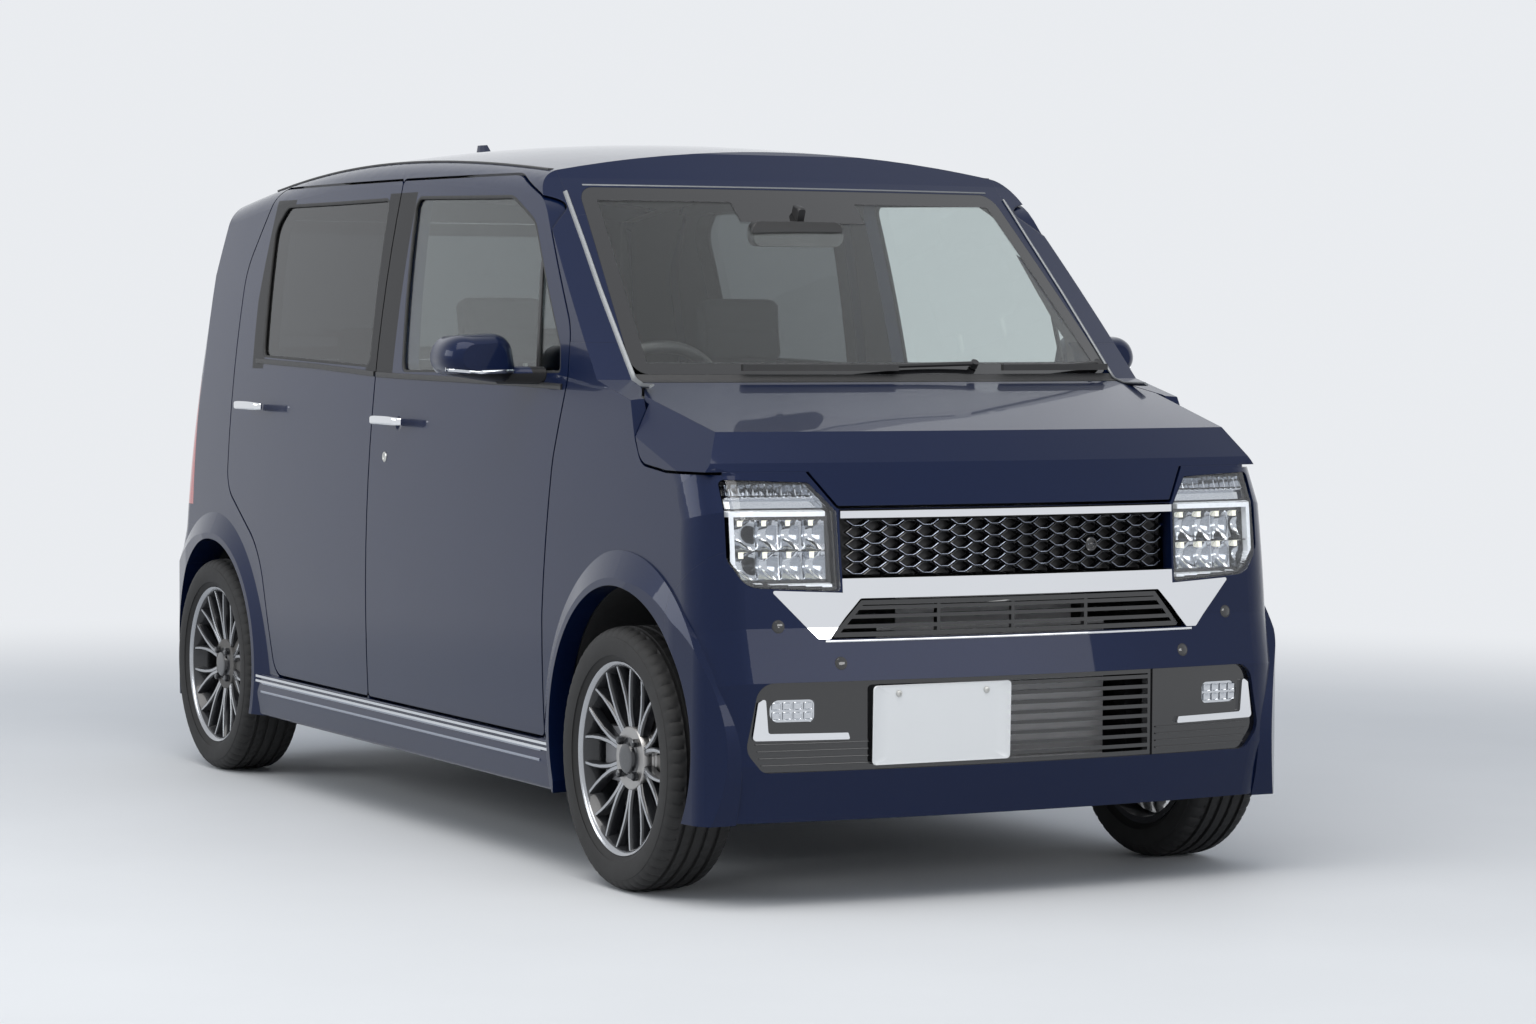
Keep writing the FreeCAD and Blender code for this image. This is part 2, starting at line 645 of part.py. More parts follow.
def front_bumper():
    """Front bumper, open for the grille, the middle slot and the lower intake."""
    cuts = [front_prism(outline, -1800, -1480) for outline in (GRILLE, GARNISH, NOSE_SLOT, LOWER_INTAKE)]
    cuts += [side_prism(FENDER_NOSE, *LEFT_CORNER), mirrored(side_prism(FENDER_NOSE, *LEFT_CORNER))]
    cuts.append(side_prism(HOOD_SIDE, -800, 800))
    cuts.append(front_prism(HOOD_NOSE, -1750, -1480, GAP))
    region = side_prism(FRONT_BUMPER, -800, 800)
    return biggest(wall(outer, region, cuts + headlight_cuts, size("bumper_wall")), 5000.0)


MIDDLE_SLOT = both_sides(((360, 634, 4), (428, 558, 4)))
NOSE_SLOT = both_sides(((364, 640, 0), (440, 556, 4)))
LOWER_INTAKE = both_sides(((600, 470, 40), (628, 330, 40), (590, 285, 30)))


def rear_bumper():
    """Rear bumper."""
    cuts = [front_prism(TAILGATE, ROOF_END, 1800, GAP)]
    return biggest(wall(outer, side_prism(REAR_BUMPER, -800, 800), cuts, size("bumper_wall")), 5000.0)


FLOOR = size("floor_height")
FLOOR_TOP = FLOOR + size("floor_wall")
BULKHEAD = size("bulkhead_place")
STEP_PLACE = 760.0
LOAD_FLOOR = 396.0
LOAD_END = 1590.0
CABIN_REACH = SILL_INNER - SEAT
REAR_HOUSE = 545.0
FRONT_HOUSE = 410.0


# Wheels. Each is made at the left front place's axle line, x measured from the tyre's middle, outwards positive.

HUB_FACE = 45.0
LUG_COUNT = 4
STUB_RADIUS = 24.0
RUNNING = 0.4


def turned(rows, centre):
    """Turns a closed outline of (x, radius) corners round the axle line through centre."""
    corners = [centre + Vector(x, 0, r) for x, r in rows]
    face = Part.Face(Part.makePolygon(corners + [corners[0]]))
    return face.revolve(centre, Vector(1, 0, 0), 360)


def tyre(centre):
    """Tyre: a turned ring with a rounded shoulder and a bead that sits on the rim."""
    half = size("tyre_width") / 2
    top, bead = size("tyre_radius"), size("rim_radius") - 4
    rim_half = size("rim_width") / 2
    rows = (
        (-rim_half + 14, bead), (-rim_half - 2, bead + 8), (-half, bead + 34), (-half + 2, top - 24),
        (-half + 14, top - 5), (-half + 30, top), (half - 30, top), (half - 14, top - 5),
        (half - 2, top - 24), (half, bead + 34), (rim_half + 2, bead + 8), (rim_half - 14, bead),
    )
    return turned(rows, centre)


def rim(centre):
    """Rim: barrel with flanges, hub plate, forked spokes and lug nuts in one solid."""
    half, outer_radius, wall = size("rim_width") / 2, size("rim_radius"), size("rim_wall")
    seat = outer_radius - 4.5
    rows = (
        (-half, outer_radius - 16), (-half, outer_radius - 1), (-half + 7, outer_radius - 1), (-half + 11, seat),
        (-half + 40, seat), (-half + 56, seat - 14), (half - 56, seat - 14), (half - 40, seat),
        (half - 11, seat), (half - 7, outer_radius - 1), (half, outer_radius - 1), (half, outer_radius - 14),
        (half - 30, seat - wall - 2), (half - 60, seat - 14 - wall), (-half + 56, seat - 14 - wall),
        (-half + 36, seat - wall),
    )
    barrel = turned(rows, centre)
    face_at = half - 8
    plate_low = HUB_FACE
    hub = Part.makeCylinder(size("hub_radius"), face_at - 6 - plate_low, centre + Vector(plate_low, 0, 0),
                            Vector(1, 0, 0))
    bore = Part.makeCylinder(28, 200, centre + Vector(-60, 0, 0), Vector(1, 0, 0))
    cap = Part.makeCylinder(30, face_at - plate_low - 4, centre + Vector(plate_low, 0, 0), Vector(1, 0, 0))
    spokes = []
    count = int(size("spoke_pairs"))
    depth = 20.0
    fork, end = 104.0, seat - wall + 1
    spread = math.radians(11.0)
    for index in range(count):
        turn = 2 * math.pi * index / count

        def at(radius, angle):
            return centre + Vector(face_at - depth, -radius * math.sin(angle + turn), radius * math.cos(angle + turn))

        for lean in (-1, 1):
            root, tip = 0.0, lean * spread
            corners = [at(58, -7 / 58), at(fork, root - 6.5 / fork), at(end, tip - 6.0 / end),
                       at(end, tip + 6.0 / end), at(fork, root + 6.5 / fork), at(58, 7 / 58)]
            spokes.append(Part.Face(Part.makePolygon(corners + [corners[0]])).extrude(Vector(depth, 0, 0)))
    pockets, nuts = [], []
    for index in range(LUG_COUNT):
        turn = math.pi / 4 + math.pi / 2 * index
        at_lug = centre + Vector(0, size("lug_circle") * math.cos(turn), size("lug_circle") * math.sin(turn))
        pockets.append(Part.makeCylinder(14, 60, at_lug + Vector(plate_low + 10, 0, 0), Vector(1, 0, 0)))
        nuts.append(Part.makeCylinder(size("lug_radius"), 22, at_lug + Vector(plate_low + 2, 0, 0), Vector(1, 0, 0)))
    body = barrel.fuse([hub] + spokes).cut([bore] + pockets)
    return body.fuse([cap] + nuts).removeSplitter()


def wheel_centre(front):
    """Gives the middle of the left tyre of an axle."""
    return Vector(HALF_TRACK, FRONT_AXLE if front else REAR_AXLE, HUB_HEIGHT)


def brake(centre, front):
    """Front disc with its hat, or rear drum, seated on the rim's hub plate."""
    seat = centre + Vector(HUB_FACE - SEAT, 0, 0)
    inwards = Vector(-1, 0, 0)
    if front:
        disc = Part.makeCylinder(size("disc_radius"), size("disc_wall"), seat + inwards * 24, inwards)
        hat = Part.makeCylinder(70, 30, seat, inwards)
        return disc.fuse(hat).cut(Part.makeCylinder(STUB_RADIUS + RUNNING, 100, seat, inwards)).removeSplitter()
    drum = Part.makeCylinder(size("drum_radius"), 52, seat + inwards * 6, inwards)
    drum = drum.fuse(Part.makeCylinder(66, 10, seat, inwards))
    return drum.cut(Part.makeCylinder(STUB_RADIUS + RUNNING, 70, seat + inwards * 20, inwards)).removeSplitter()


# Steering axis of the left front wheel: lower ball joint and upper strut mount.
BALL_JOINT = Vector(650, FRONT_AXLE, 190)
STRUT_TOP = Vector(520, FRONT_AXLE, 880)
SPRING_FOOT = 640.0


def on_steer_axis(height):
    """Gives the point of the left steering axis at a height."""
    share = (height - BALL_JOINT.z) / (STRUT_TOP.z - BALL_JOINT.z)
    return BALL_JOINT + (STRUT_TOP - BALL_JOINT) * share


def knuckle(sign):
    """Front knuckle: hub carrier, strut tube, steering arm and brake caliper in one node."""
    hub_end = Vector(HALF_TRACK + HUB_FACE - 56, FRONT_AXLE, HUB_HEIGHT)
    carrier = Part.makeCylinder(44, 56, hub_end, Vector(-1, 0, 0))
    stub = Part.makeCylinder(STUB_RADIUS, 60, hub_end + Vector(54, 0, 0), Vector(-1, 0, 0))
    ball = BALL_JOINT + Vector(-34, 0, 4)
    foot = rod(ball, hub_end + Vector(-34, 0, 0), 17)
    strut_foot = Vector(548, FRONT_AXLE, 330)
    link = rod(hub_end + Vector(-40, 0, 6), strut_foot, 18)
    tube = rod(strut_foot, on_steer_axis(SPRING_FOOT - 12) + Vector(-30, 0, 0), 20)
    arm = rod(hub_end + Vector(-34, 0, -20), Vector(606, FRONT_AXLE + 112, 262), 12)
    disc_middle = HALF_TRACK + HUB_FACE - 24 - size("disc_wall") / 2
    wide = size("disc_wall") + 44
    caliper = box((disc_middle - wide / 2, FRONT_AXLE + 68, HUB_HEIGHT - 58),
                  (disc_middle + wide / 2 - 14, FRONT_AXLE + 150, HUB_HEIGHT + 58))
    groove = Part.makeCylinder(size("disc_radius") + 3, size("disc_wall") + 6,
                               Vector(disc_middle - size("disc_wall") / 2 - 3, FRONT_AXLE, HUB_HEIGHT),
                               Vector(1, 0, 0))
    outer_cut = Part.makeCylinder(172, 200, Vector(560, FRONT_AXLE, HUB_HEIGHT), Vector(1, 0, 0))
    hub_room = Part.makeCylinder(74, 60, Vector(disc_middle - 12, FRONT_AXLE, HUB_HEIGHT), Vector(1, 0, 0))
    caliper = caliper.common(outer_cut).cut([groove, hub_room])
    bracket = rod(hub_end + Vector(-40, 20, 0), Vector(disc_middle - wide / 2 + 6, FRONT_AXLE + 90, HUB_HEIGHT), 15)
    shape = fused([carrier, stub, foot, link, tube, arm, bracket, caliper])
    return on_side(biggest(shape), sign)


def front_suspension():
    """Cross member, lower arms, steering rack, springs and drive shafts, as separate solids of one node."""
    member = box((-330, FRONT_AXLE + 10, 178), (330, FRONT_AXLE + 230, 222))
    rack = rod((-430, FRONT_AXLE + 178, 262), (430, FRONT_AXLE + 178, 262), 24)
    post = box((-30, FRONT_AXLE + 160, 221), (30, FRONT_AXLE + 196, 262))
    shapes = [fused([member, rack, post])]
    solids = [member, rack, post]
    solids += [box((across, BULKHEAD - 20, 178), (across + 60, BULKHEAD + 100, FLOOR - SEAT)) for across in (-320, 260)]
    solids += [box((across, FRONT_AXLE + 200, 178), (across + 60, BULKHEAD, FLOOR - SEAT)) for across in (-320, 260)]
    for name, sign in SIDES:
        inner_front, inner_rear = (sign * 300, FRONT_AXLE - 20, 196), (sign * 300, FRONT_AXLE + 190, 200)
        ball = (sign * (BALL_JOINT.x - 34), FRONT_AXLE, BALL_JOINT.z - 18)
        solids.append(rod(inner_rear, ball, 16))
        solids.append(rod((sign * 320, FRONT_AXLE + 30, 196), ball, 18))
    shapes = [fused(solids)]
    for name, sign in SIDES:
        base, top = on_steer_axis(SPRING_FOOT), STRUT_TOP
        length = base.distanceToPoint(top)
        rows = [(0, 0), (0, 56), (10, 56)]
        coils = 6
        pitch = (length - 30) / coils
        for coil in range(coils):
            start = 10 + coil * pitch
            rows += [(start + pitch * 0.3, 44), (start + pitch * 0.7, 44), (start + pitch, 56)]
        rows += [(length, 56), (length, 0)]
        axis = (top - base).normalize()
        side = axis.cross(Vector(0, 1, 0)).normalize()
        corners = [base + axis * a + side * r for a, r in rows]
        spring = Part.Face(Part.makePolygon(corners + [corners[0]])).revolve(base, axis, 360)
        shapes.append(on_side(spring, sign))
    return Part.makeCompound([solid for shape in shapes for solid in shape.Solids])


def rear_axle():
    """Rear twist beam with trailing arms, stub axles and dampers."""
    solids = [rod((-500, REAR_AXLE - 150, 262), (500, REAR_AXLE - 150, 262), 34)]
    hub_end = HALF_TRACK + HUB_FACE - 26
    for name, sign in SIDES:
        solids.append(rod((sign * 480, REAR_AXLE - 400, 250), (sign * 490, REAR_AXLE + 20, 262), 26))
        solids.append(rod((sign * 470, REAR_AXLE, HUB_HEIGHT), (sign * hub_end, REAR_AXLE, HUB_HEIGHT), STUB_RADIUS))
        solids.append(rod((sign * 496, REAR_AXLE + 10, 262), (sign * 496, REAR_AXLE + 50, 385), 22))
        solids.append(box((sign * 480 - 16, REAR_AXLE - 412, 240), (sign * 480 + 16, REAR_AXLE - 372, LOAD_FLOOR - SEAT)))
    return fused(solids)


# Floor, bulkhead, wheel housings and what hangs under the floor.

floor_limit = side_form(size("frame_wall") + SEAT)


def floor_pan():
    """Floor with a centre tunnel, the bulkhead ahead of the feet and the raised load floor."""
    plate = box((-CABIN_REACH, BULKHEAD, FLOOR), (CABIN_REACH, STEP_PLACE + 20, FLOOR_TOP))
    wall = box((-600, BULKHEAD, FLOOR), (600, BULKHEAD + 22, 1030))
    tunnel = front_prism(((-130, FLOOR_TOP - 2, 0), (-100, FLOOR_TOP + 70, 20), (100, FLOOR_TOP + 70, 20),
                          (130, FLOOR_TOP - 2, 0)), BULKHEAD + 10, STEP_PLACE + 20)
    load_top = LOAD_FLOOR + size("floor_wall")
    step = side_prism(((STEP_PLACE, FLOOR, 0), (STEP_PLACE, FLOOR_TOP, 0), (STEP_PLACE + 30, load_top, 20),
                       (LOAD_END, load_top, 0), (LOAD_END, LOAD_FLOOR, 0), (STEP_PLACE + 54, LOAD_FLOOR, 20),
                       (STEP_PLACE + 24, FLOOR, 0)), -CABIN_REACH, CABIN_REACH)
    shape = fused([plate, wall, tunnel, step]).common(floor_limit)
    holes = [arch_hole(FRONT_ARCH, 8, FRONT_HOUSE - 8), arch_hole(REAR_ARCH, 8, REAR_HOUSE - 8)]
    return biggest(shape.cut(holes), 20000.0)


def wheel_house(arch, inner, sign):
    """Wheel housing: a half barrel over the tyre with its inner wall, open for the suspension."""
    place, lift, radius = arch
    centre = Vector(inner, place, HUB_HEIGHT + lift)
    outward = Vector(1, 0, 0)
    shell = Part.makeCylinder(radius + 6, SIDE - inner, centre, outward)
    shell = shell.cut(Part.makeCylinder(radius + 1, SIDE, centre + outward * 5, outward))
    ends = (place - radius - 20, min(place + radius + 20, -946)) if inner == FRONT_HOUSE else (
        place - radius - 20, place + radius + 20)
    keep = box((0, ends[0], FLOOR_TOP + SEAT), (FAR, ends[1], FAR))
    shell = shell.common(keep).common(liner_limit if inner == FRONT_HOUSE else frame_clear)
    if inner == FRONT_HOUSE:
        # The strut tower stands on the housing and closes over the spring.
        tower = rod(on_steer_axis(600), on_steer_axis(STRUT_TOP.z + 10), 70)
        shell = shell.fuse(tower.cut(Part.makeCylinder(radius + 1, SIDE, centre + outward * 5, outward)))
    if inner == FRONT_HOUSE:
        strut_room = rod(on_steer_axis(500), STRUT_TOP, 64)
        arm_room = box((inner - 10, place - 120, 0), (inner + 20, place + 250, 330))
    else:
        strut_room = rod((496, place, 200), (496, place + 100, 620), 40)
        arm_room = box((inner - 10, place - 340, 0), (inner + 20, place + 130, 330))
    return on_side(biggest(shell.cut([strut_room, arm_room])), sign)


def front_frame():
    """Front rails, the crash beam behind the bumper and the tie under the radiator."""
    solids = [box((-520, -1606, 480), (520, -1576, 545)), box((-390, -1575, 236), (390, -1530, 270))]
    for low in (-392, 332):
        solids.append(box((low, -1580, 300), (low + 60, BULKHEAD - SEAT, 372)))
        solids.append(box((low, -1576, 240), (low + 60, -1530, 545)))
    return fused(solids)


def exhaust():
    """Exhaust pipe under the floor with its rear silencer."""
    pipe = rod((-60, FRONT_AXLE + 250, 182), (-60, 1210, 182), 18)
    bend = rod((-60, 1200, 182), (-250, 1420, 290), 18)
    silencer = rod((-250, 1400, 312), (-250, 1570, 312), 70)
    tail = rod((-290, 1560, 290), (-305, 1615, 286), 18)
    return fused([pipe, bend, silencer, tail])


# Nose pieces.

GRILLE_DEPTH = 16.0
MESH_WALL = 10.0
HEX_ACROSS = 50.0
HEX_HIGH = 25.0
HEX_RIB = 5.0


def nose_band(depth, thick, low, high):
    """Makes an upright band that follows the nose in plan, its front face at a depth behind the nose."""
    reach, sweep = 700.0, 52.0
    front = NOSE + 36 + depth
    edge = sweep * (reach / SWEEP_PLACE) ** 2

    def arc(middle):
        return Part.Arc(Vector(-reach, middle + edge, low), Vector(0, middle, low),
                        Vector(reach, middle + edge, low)).toShape()

    first, last = arc(front), arc(front + thick)
    ends = [Part.LineSegment(Vector(across, front + edge, low), Vector(across, front + edge + thick, low)).toShape()
            for across in (-reach, reach)]
    return Part.Face(Part.Wire(Part.sortEdges([first, last] + ends)[0])).extrude(Vector(0, 0, high - low))


def grille_mesh():
    """Grille: a panel that follows the nose, pierced by rows of long hexagons."""
    panel = nose_band(GRILLE_DEPTH, MESH_WALL, 670, 830).common(front_prism(GRILLE, -1750, -1560, -SEAT))
    brow = box((-500, NOSE, 803), (500, NOSE + 400, 830))
    panel = panel.cut(brow).fuse(nose_band(GRILLE_DEPTH + SEAT, MESH_WALL, 798, 821.6).common(
        front_prism(GRILLE, -1750, -1560, -SEAT)))
    holes = []
    half, high, tip = HEX_ACROSS / 2, (HEX_HIGH - HEX_RIB) / 2, HEX_ACROSS / 6
    row_step, column_step = HEX_HIGH / 2, 1.5 * HEX_ACROSS + HEX_RIB
    for row in range(9):
        level = 698 + row * row_step
        shift = column_step / 2 if row % 2 else 0.0
        for column in range(-6, 7):
            middle = column * column_step + shift
            if abs(middle) > 365:
                continue
            corners = ((middle - half, level), (middle - tip, level + high), (middle + tip, level + high),
                       (middle + half, level), (middle + tip, level - high), (middle - tip, level - high))
            points = [Vector(x, -1720, z) for x, z in corners]
            holes.append(Part.Face(Part.makePolygon(points + [points[0]])).extrude(Vector(0, 180, 0)))
    return biggest(panel.cut(holes))


def slats(outline, low, high, levels, uprights, depth):
    """Fills an intake with level slats and uprights on a frame that follows the nose."""
    room = front_prism(outline, -1750, -1560, -SEAT)
    rim_zone = nose_band(depth, 22, low, high).common(room.cut(front_prism(outline, -1750, -1560, -10)))
    bars = [nose_band(depth, 20, level - 4, level + 4) for level in levels]
    bars += [box((across - 4, NOSE + 40, low), (across + 4, NOSE + 150, high)).common(
        nose_band(depth + 2, 16, low, high)) for across in uprights]
    return rim_zone.fuse([bar.common(room) for bar in bars]).removeSplitter()


def lower_grilles():
    """Slats of the middle slot and of the lower intake."""
    middle = slats(MIDDLE_SLOT, 550, 640, (580, 600, 618), (-180, 0, 180), -4)
    levels = [306 + 21 * index for index in range(8)]
    lower = slats(LOWER_SLATS, 280, 475, levels, (-120, 60, 200), -26)
    return Part.makeCompound(middle.Solids + lower.Solids)


LOWER_SLATS = both_sides(((338, 470, 0), (338, 285, 0)))
BEZEL = ((338, 470, 0), (600, 470, 40), (628, 330, 40), (590, 285, 30), (338, 285, 0))
FOG_LAMP = ((474, 388, 12), (474, 434, 12), (572, 434, 20), (572, 388, 20))
BRACKET = ((400, 350, 3), (404, 364, 3), (578, 366, 6), (584, 440, 5), (600, 430, 5), (612, 352, 8))


def fog_bezels():
    """Gloss bezels at the ends of the lower intake, each open for its fog lamp."""
    left = nose_band(-30, 26, 280, 475).common(front_prism(BEZEL, -1750, -1560, -SEAT))
    left = left.cut(front_prism(FOG_LAMP, -1750, -1560))
    return Part.makeCompound(left.Solids + mirrored(left).Solids)


def fog_lamps():
    """Fog lamps, shallow blocks with a clear face."""
    left = nose_band(-27, 34, 280, 475).common(front_prism(FOG_LAMP, -1750, -1560, -SEAT))
    return Part.makeCompound(left.Solids + mirrored(left).Solids)


def nose_garnish():
    """Winged garnish between the grille and the middle slot."""
    shape = outer.common(front_prism(GARNISH, -1750, -1560, -SEAT)).cut(envelope(16))
    return biggest(shape, 500.0)


def bright_trim():
    """Bright strips: the bar above the grille, the brackets round the fog lamps and the sill strips."""
    bar = nose_band(0, 16, 804, 819).common(front_prism(GRILLE, -1750, -1560, -SEAT))
    bracket = nose_band(-38, 8 - SEAT, 340, 460).common(front_prism(BRACKET, -1750, -1560))
    solids = bar.Solids + bracket.Solids + mirrored(bracket).Solids
    for level in (264, 276):
        strip = box((SILL_REACH - 12, FRONT_AXLE + 345, level), (SILL_REACH + 3, REAR_AXLE - 340, level + 6))
        strip = strip.cut(left_outer)
        solids += strip.Solids + mirrored(strip).Solids
    return Part.makeCompound([solid for solid in solids if solid.Volume > 500])


def on_windshield(across, height, off):
    """Gives a point at a distance off the windshield's face."""
    share = (height - 1080.0) / (1529.0 - 1080.0)
    place = -1180 + 525 * share + (105 - 45 * share) * (across / SWEEP_PLACE) ** 2
    return (across, place - 0.65 * off, height + 0.76 * off)


WIPERS = (
    # pivot x, elbow x, blade from x to x, blade height
    (200, -130, -376, -10, 1100),
    (570, 420, 270, 590, 1100),
)
PIVOT_LEVEL = 1106.0


def wipers():
    """Wipers parked along the foot of the windshield: arm and blade of each in one solid."""
    solids = []
    for pivot, elbow, low, high, level in WIPERS:
        near, far = [[Vector(across, on_windshield(across, level, 0)[1] - off, level)
                      for across in (low, (low + high) / 2, high)] for off in (8, 20)]
        edges = [Part.Arc(*near).toShape(), Part.LineSegment(near[2], far[2]).toShape(),
                 Part.Arc(far[2], far[1], far[0]).toShape(), Part.LineSegment(far[0], near[0]).toShape()]
        blade = Part.Face(Part.Wire(edges)).extrude(Vector(0, 0, 14))
        elbow_place = on_windshield(elbow, level, 0)[1] - 14
        arm = rod(on_windshield(pivot, PIVOT_LEVEL, 13), (elbow, elbow_place, level + 8), 5)
        boss = rod(on_windshield(pivot, PIVOT_LEVEL, 3), on_windshield(pivot, PIVOT_LEVEL, 18), 9)
        solids += fused([arm, boss, blade]).Solids
    return Part.makeCompound(solids)


def headlamps():
    """Headlamp housings, each with two rows of reflector bowls."""
    right = headlight_cuts[0].common(envelope(20)).common(front_prism(HEADLIGHT, -1750, -1470, -SEAT))
    right = right.cut(envelope(130))
    bowls = [Part.makeSphere(24, Vector(-600 + column * 46, -1640 + 20 * (column == 0), level))
             for level in (712, 772) for column in range(4)]
    right = biggest(right.cut(bowls))
    return Part.makeCompound(right.Solids + mirrored(right).Solids)


def headlamp_lenses():
    """Clear covers of the headlamps."""
    cover = outer.common(front_prism(HEADLIGHT, -1750, -1400, -SEAT)).cut(envelope(4))
    cover = biggest(cover, 500.0)
    return Part.makeCompound(cover.Solids + mirrored(cover).Solids)


def tail_lamps():
    """Tail lamps, upright at the corners beside the tailgate."""
    beside = front_prism(TAILGATE, ROOF_END, 1800, GAP)
    lamp = outer.common(front_prism(TAIL_LAMP, 1480 + SEAT, 1720, -SEAT)).cut([envelope(40), beside])
    lamp = biggest(lamp, 500.0)
    return Part.makeCompound(lamp.Solids + mirrored(lamp).Solids)


# Cabin pieces.

DRIVER = -330.0


STEER_HUB = Vector(DRIVER, -560, 985)
STEER_TILT = math.radians(28.0)
COLUMN_RADIUS = 20.0
COLUMN_REACH = 178.0


def dashboard():
    """Dashboard across the cabin under the windshield."""
    points = ((BULKHEAD + 22 + SEAT, 560, 0), (BULKHEAD + 22 + SEAT, 1020, 20), (-790, 1035, 30), (-690, 990, 40),
              (-700, 860, 40), (-800, 760, 30), (-840, 560, 20))
    body = side_prism(points, -620, 620)
    hood_over_dials = side_prism(((-860, 1020, 0), (-800, 1075, 20), (-700, 1040, 10), (-720, 980, 0)),
                                 DRIVER - 170, DRIVER + 170)
    axis = Vector(0, math.cos(STEER_TILT), math.sin(STEER_TILT))
    column_bore = Part.makeCylinder(COLUMN_RADIUS + 0.6, 120, STEER_HUB - axis * (COLUMN_REACH + 4), axis)
    body = fused([body, hood_over_dials]).common(envelope(size("frame_wall") + 6))
    return biggest(body.cut(column_bore))


def steering_wheel():
    """Steering wheel: rim, three spokes, hub, and the end of its column."""
    axis = Vector(0, math.cos(STEER_TILT), math.sin(STEER_TILT))
    rim_ring = Part.makeTorus(size("steering_wheel_radius"), 15, STEER_HUB, axis)
    hub = Part.makeCylinder(62, 44, STEER_HUB - axis * 34, axis)
    column = Part.makeCylinder(COLUMN_RADIUS, COLUMN_REACH - 30, STEER_HUB - axis * COLUMN_REACH, axis)
    up = Vector(0, -math.sin(STEER_TILT), math.cos(STEER_TILT))
    across = Vector(1, 0, 0)
    reach = size("steering_wheel_radius")
    spokes = [rod(tuple(STEER_HUB - axis * 14), tuple(STEER_HUB + way * reach), 13)
              for way in (across, across * -1, up * -1)]
    return fused([rim_ring, hub, column] + spokes)


def front_seat(sign):
    """Front seat: base, cushion, backrest and head restraint, apart from each other."""
    middle = sign * abs(DRIVER)
    half = size("seat_width") / 2
    base = side_prism(((-330, FLOOR_TOP + SEAT, 0), (-300, 360, 0), (120, 360, 0), (140, FLOOR_TOP + SEAT, 0)),
                      middle - half + 60, middle + half - 60)
    cushion = side_prism(((-380, 362, 30), (-370, 500, 50), (120, 470, 40), (120, 362, 20)),
                         middle - half, middle + half)
    back = side_prism(((120 + SEAT, 380, 0), (120 + SEAT, 470, 60), (205, 1090, 35), (300, 1090, 40), (240, 380, 20)),
                      middle - half + 10, middle + half - 10)
    head = side_prism(((226, 1090 + SEAT, 15), (236, 1270, 30), (312, 1265, 30), (300, 1090 + SEAT, 15)),
                      middle - 120, middle + 120)
    return Part.makeCompound([solid for shape in (base, cushion, back, head) for solid in shape.Solids])


def rear_seat():
    """Rear bench with its backrest and two head restraints."""
    half = 520.0
    cushion = side_prism(((770, 420 + SEAT, 0), (640, 400, 20), (620, 520, 50), (1080, 500, 30),
                          (1080, 420 + SEAT, 0)), -half, half)
    back = side_prism(((1080 + SEAT, 421, 0), (1080 + SEAT, 500, 40), (1215, 1040, 35), (1310, 1040, 35),
                       (1200, 421, 20)), -half, half)
    shapes = [cushion, back]
    for across in (-260, 260):
        shapes.append(side_prism(((1238, 1040 + SEAT, 15), (1250, 1190, 25), (1316, 1185, 25), (1310, 1040 + SEAT, 15)),
                                 across - 120, across + 120))
    return Part.makeCompound([solid for shape in shapes for solid in shape.Solids])


# Small pieces on the doors.

HANDLES = (("front", 20, 964), ("rear", 968, 978))


def door_handle(place, level, sign):
    """Door handle: a bar on two feet."""
    skin = SIDE - 2
    bar = side_prism(((place - 88, level - 11, 10), (place - 88, level + 11, 10), (place + 88, level + 11, 10),
                      (place + 88, level - 11, 10)), skin + 24, skin + 38)
    feet = [side_prism(((at - 14, level - 9, 6), (at - 14, level + 9, 6), (at + 14, level + 9, 6),
                        (at + 14, level - 9, 6)), skin - 20, skin + 25) for at in (place - 70, place + 70)]
    shape = fused([bar] + feet).cut(side_form(-SEAT))
    return on_side(shape, sign)


def door_mirror():
    """Door mirror on the left side: a domed shell with a flat back for the glass, on a foot."""
    corners = ((718, 1062, 30), (740, 1180, 45), (888, 1172, 50), (908, 1090, 40))
    middle = (815, 1120)
    wires = []
    for place, share in ((-625, 0.97), (-680, 1.0), (-728, 0.86), (-745, 0.62)):
        points = [(middle[0] + (x - middle[0]) * share, middle[1] + (z - middle[1]) * share, radius * share)
                  for x, z, radius in corners]
        wires.append(outline_face(points, lambda u, v: Vector(u, place, v)).OuterWire)
    shell = Part.makeLoft(wires, True, False)
    foot = rod((660, -800, 1085), (760, -690, 1085), 20)
    return biggest(fused([shell, foot]).cut(envelope(0.0)))


def cowl():
    """Cowl panel between the hood and the windshield, with the wiper arms and blades."""
    region = cowl_room.common(box((-COWL_REACH, -1260, 950), (COWL_REACH, -1000, 1092 - SEAT)))
    return biggest(wall(outer, region, [], size("fender_wall")))


add_piece("hood", hood())
add_piece("roof_panel", roof())
add_piece("front_bumper", front_bumper())
add_piece("rear_bumper", rear_bumper())
add_piece("tailgate", tailgate())
add_piece("tailgate_glass", biggest(
    pane(front_prism(TAILGATE_WINDOW, ROOF_END, 1800, -SEAT), size("glass_inset"), size("glass_wall")), 200.0))
add_piece("windshield", biggest(
    pane(front_prism(WINDSHIELD, -1400, -400, -SEAT), 0.0, size("glass_wall") + 1.0), 200.0))
left_panels = {
    "side_frame": side_frame(),
    "fender": fender(),
    "door_front": door(FRONT_DOOR, FRONT_WINDOW, HANDLE_FRONT),
    "door_rear": door(REAR_DOOR, REAR_WINDOW, HANDLE_REAR),
    "glass_front": door_glass(FRONT_WINDOW),
    "glass_rear": door_glass(REAR_WINDOW),
}
for side_name, side_sign in SIDES:
    for label, shape in left_panels.items():
        add_piece(f"{label}_{side_name}", on_side(shape, side_sign))

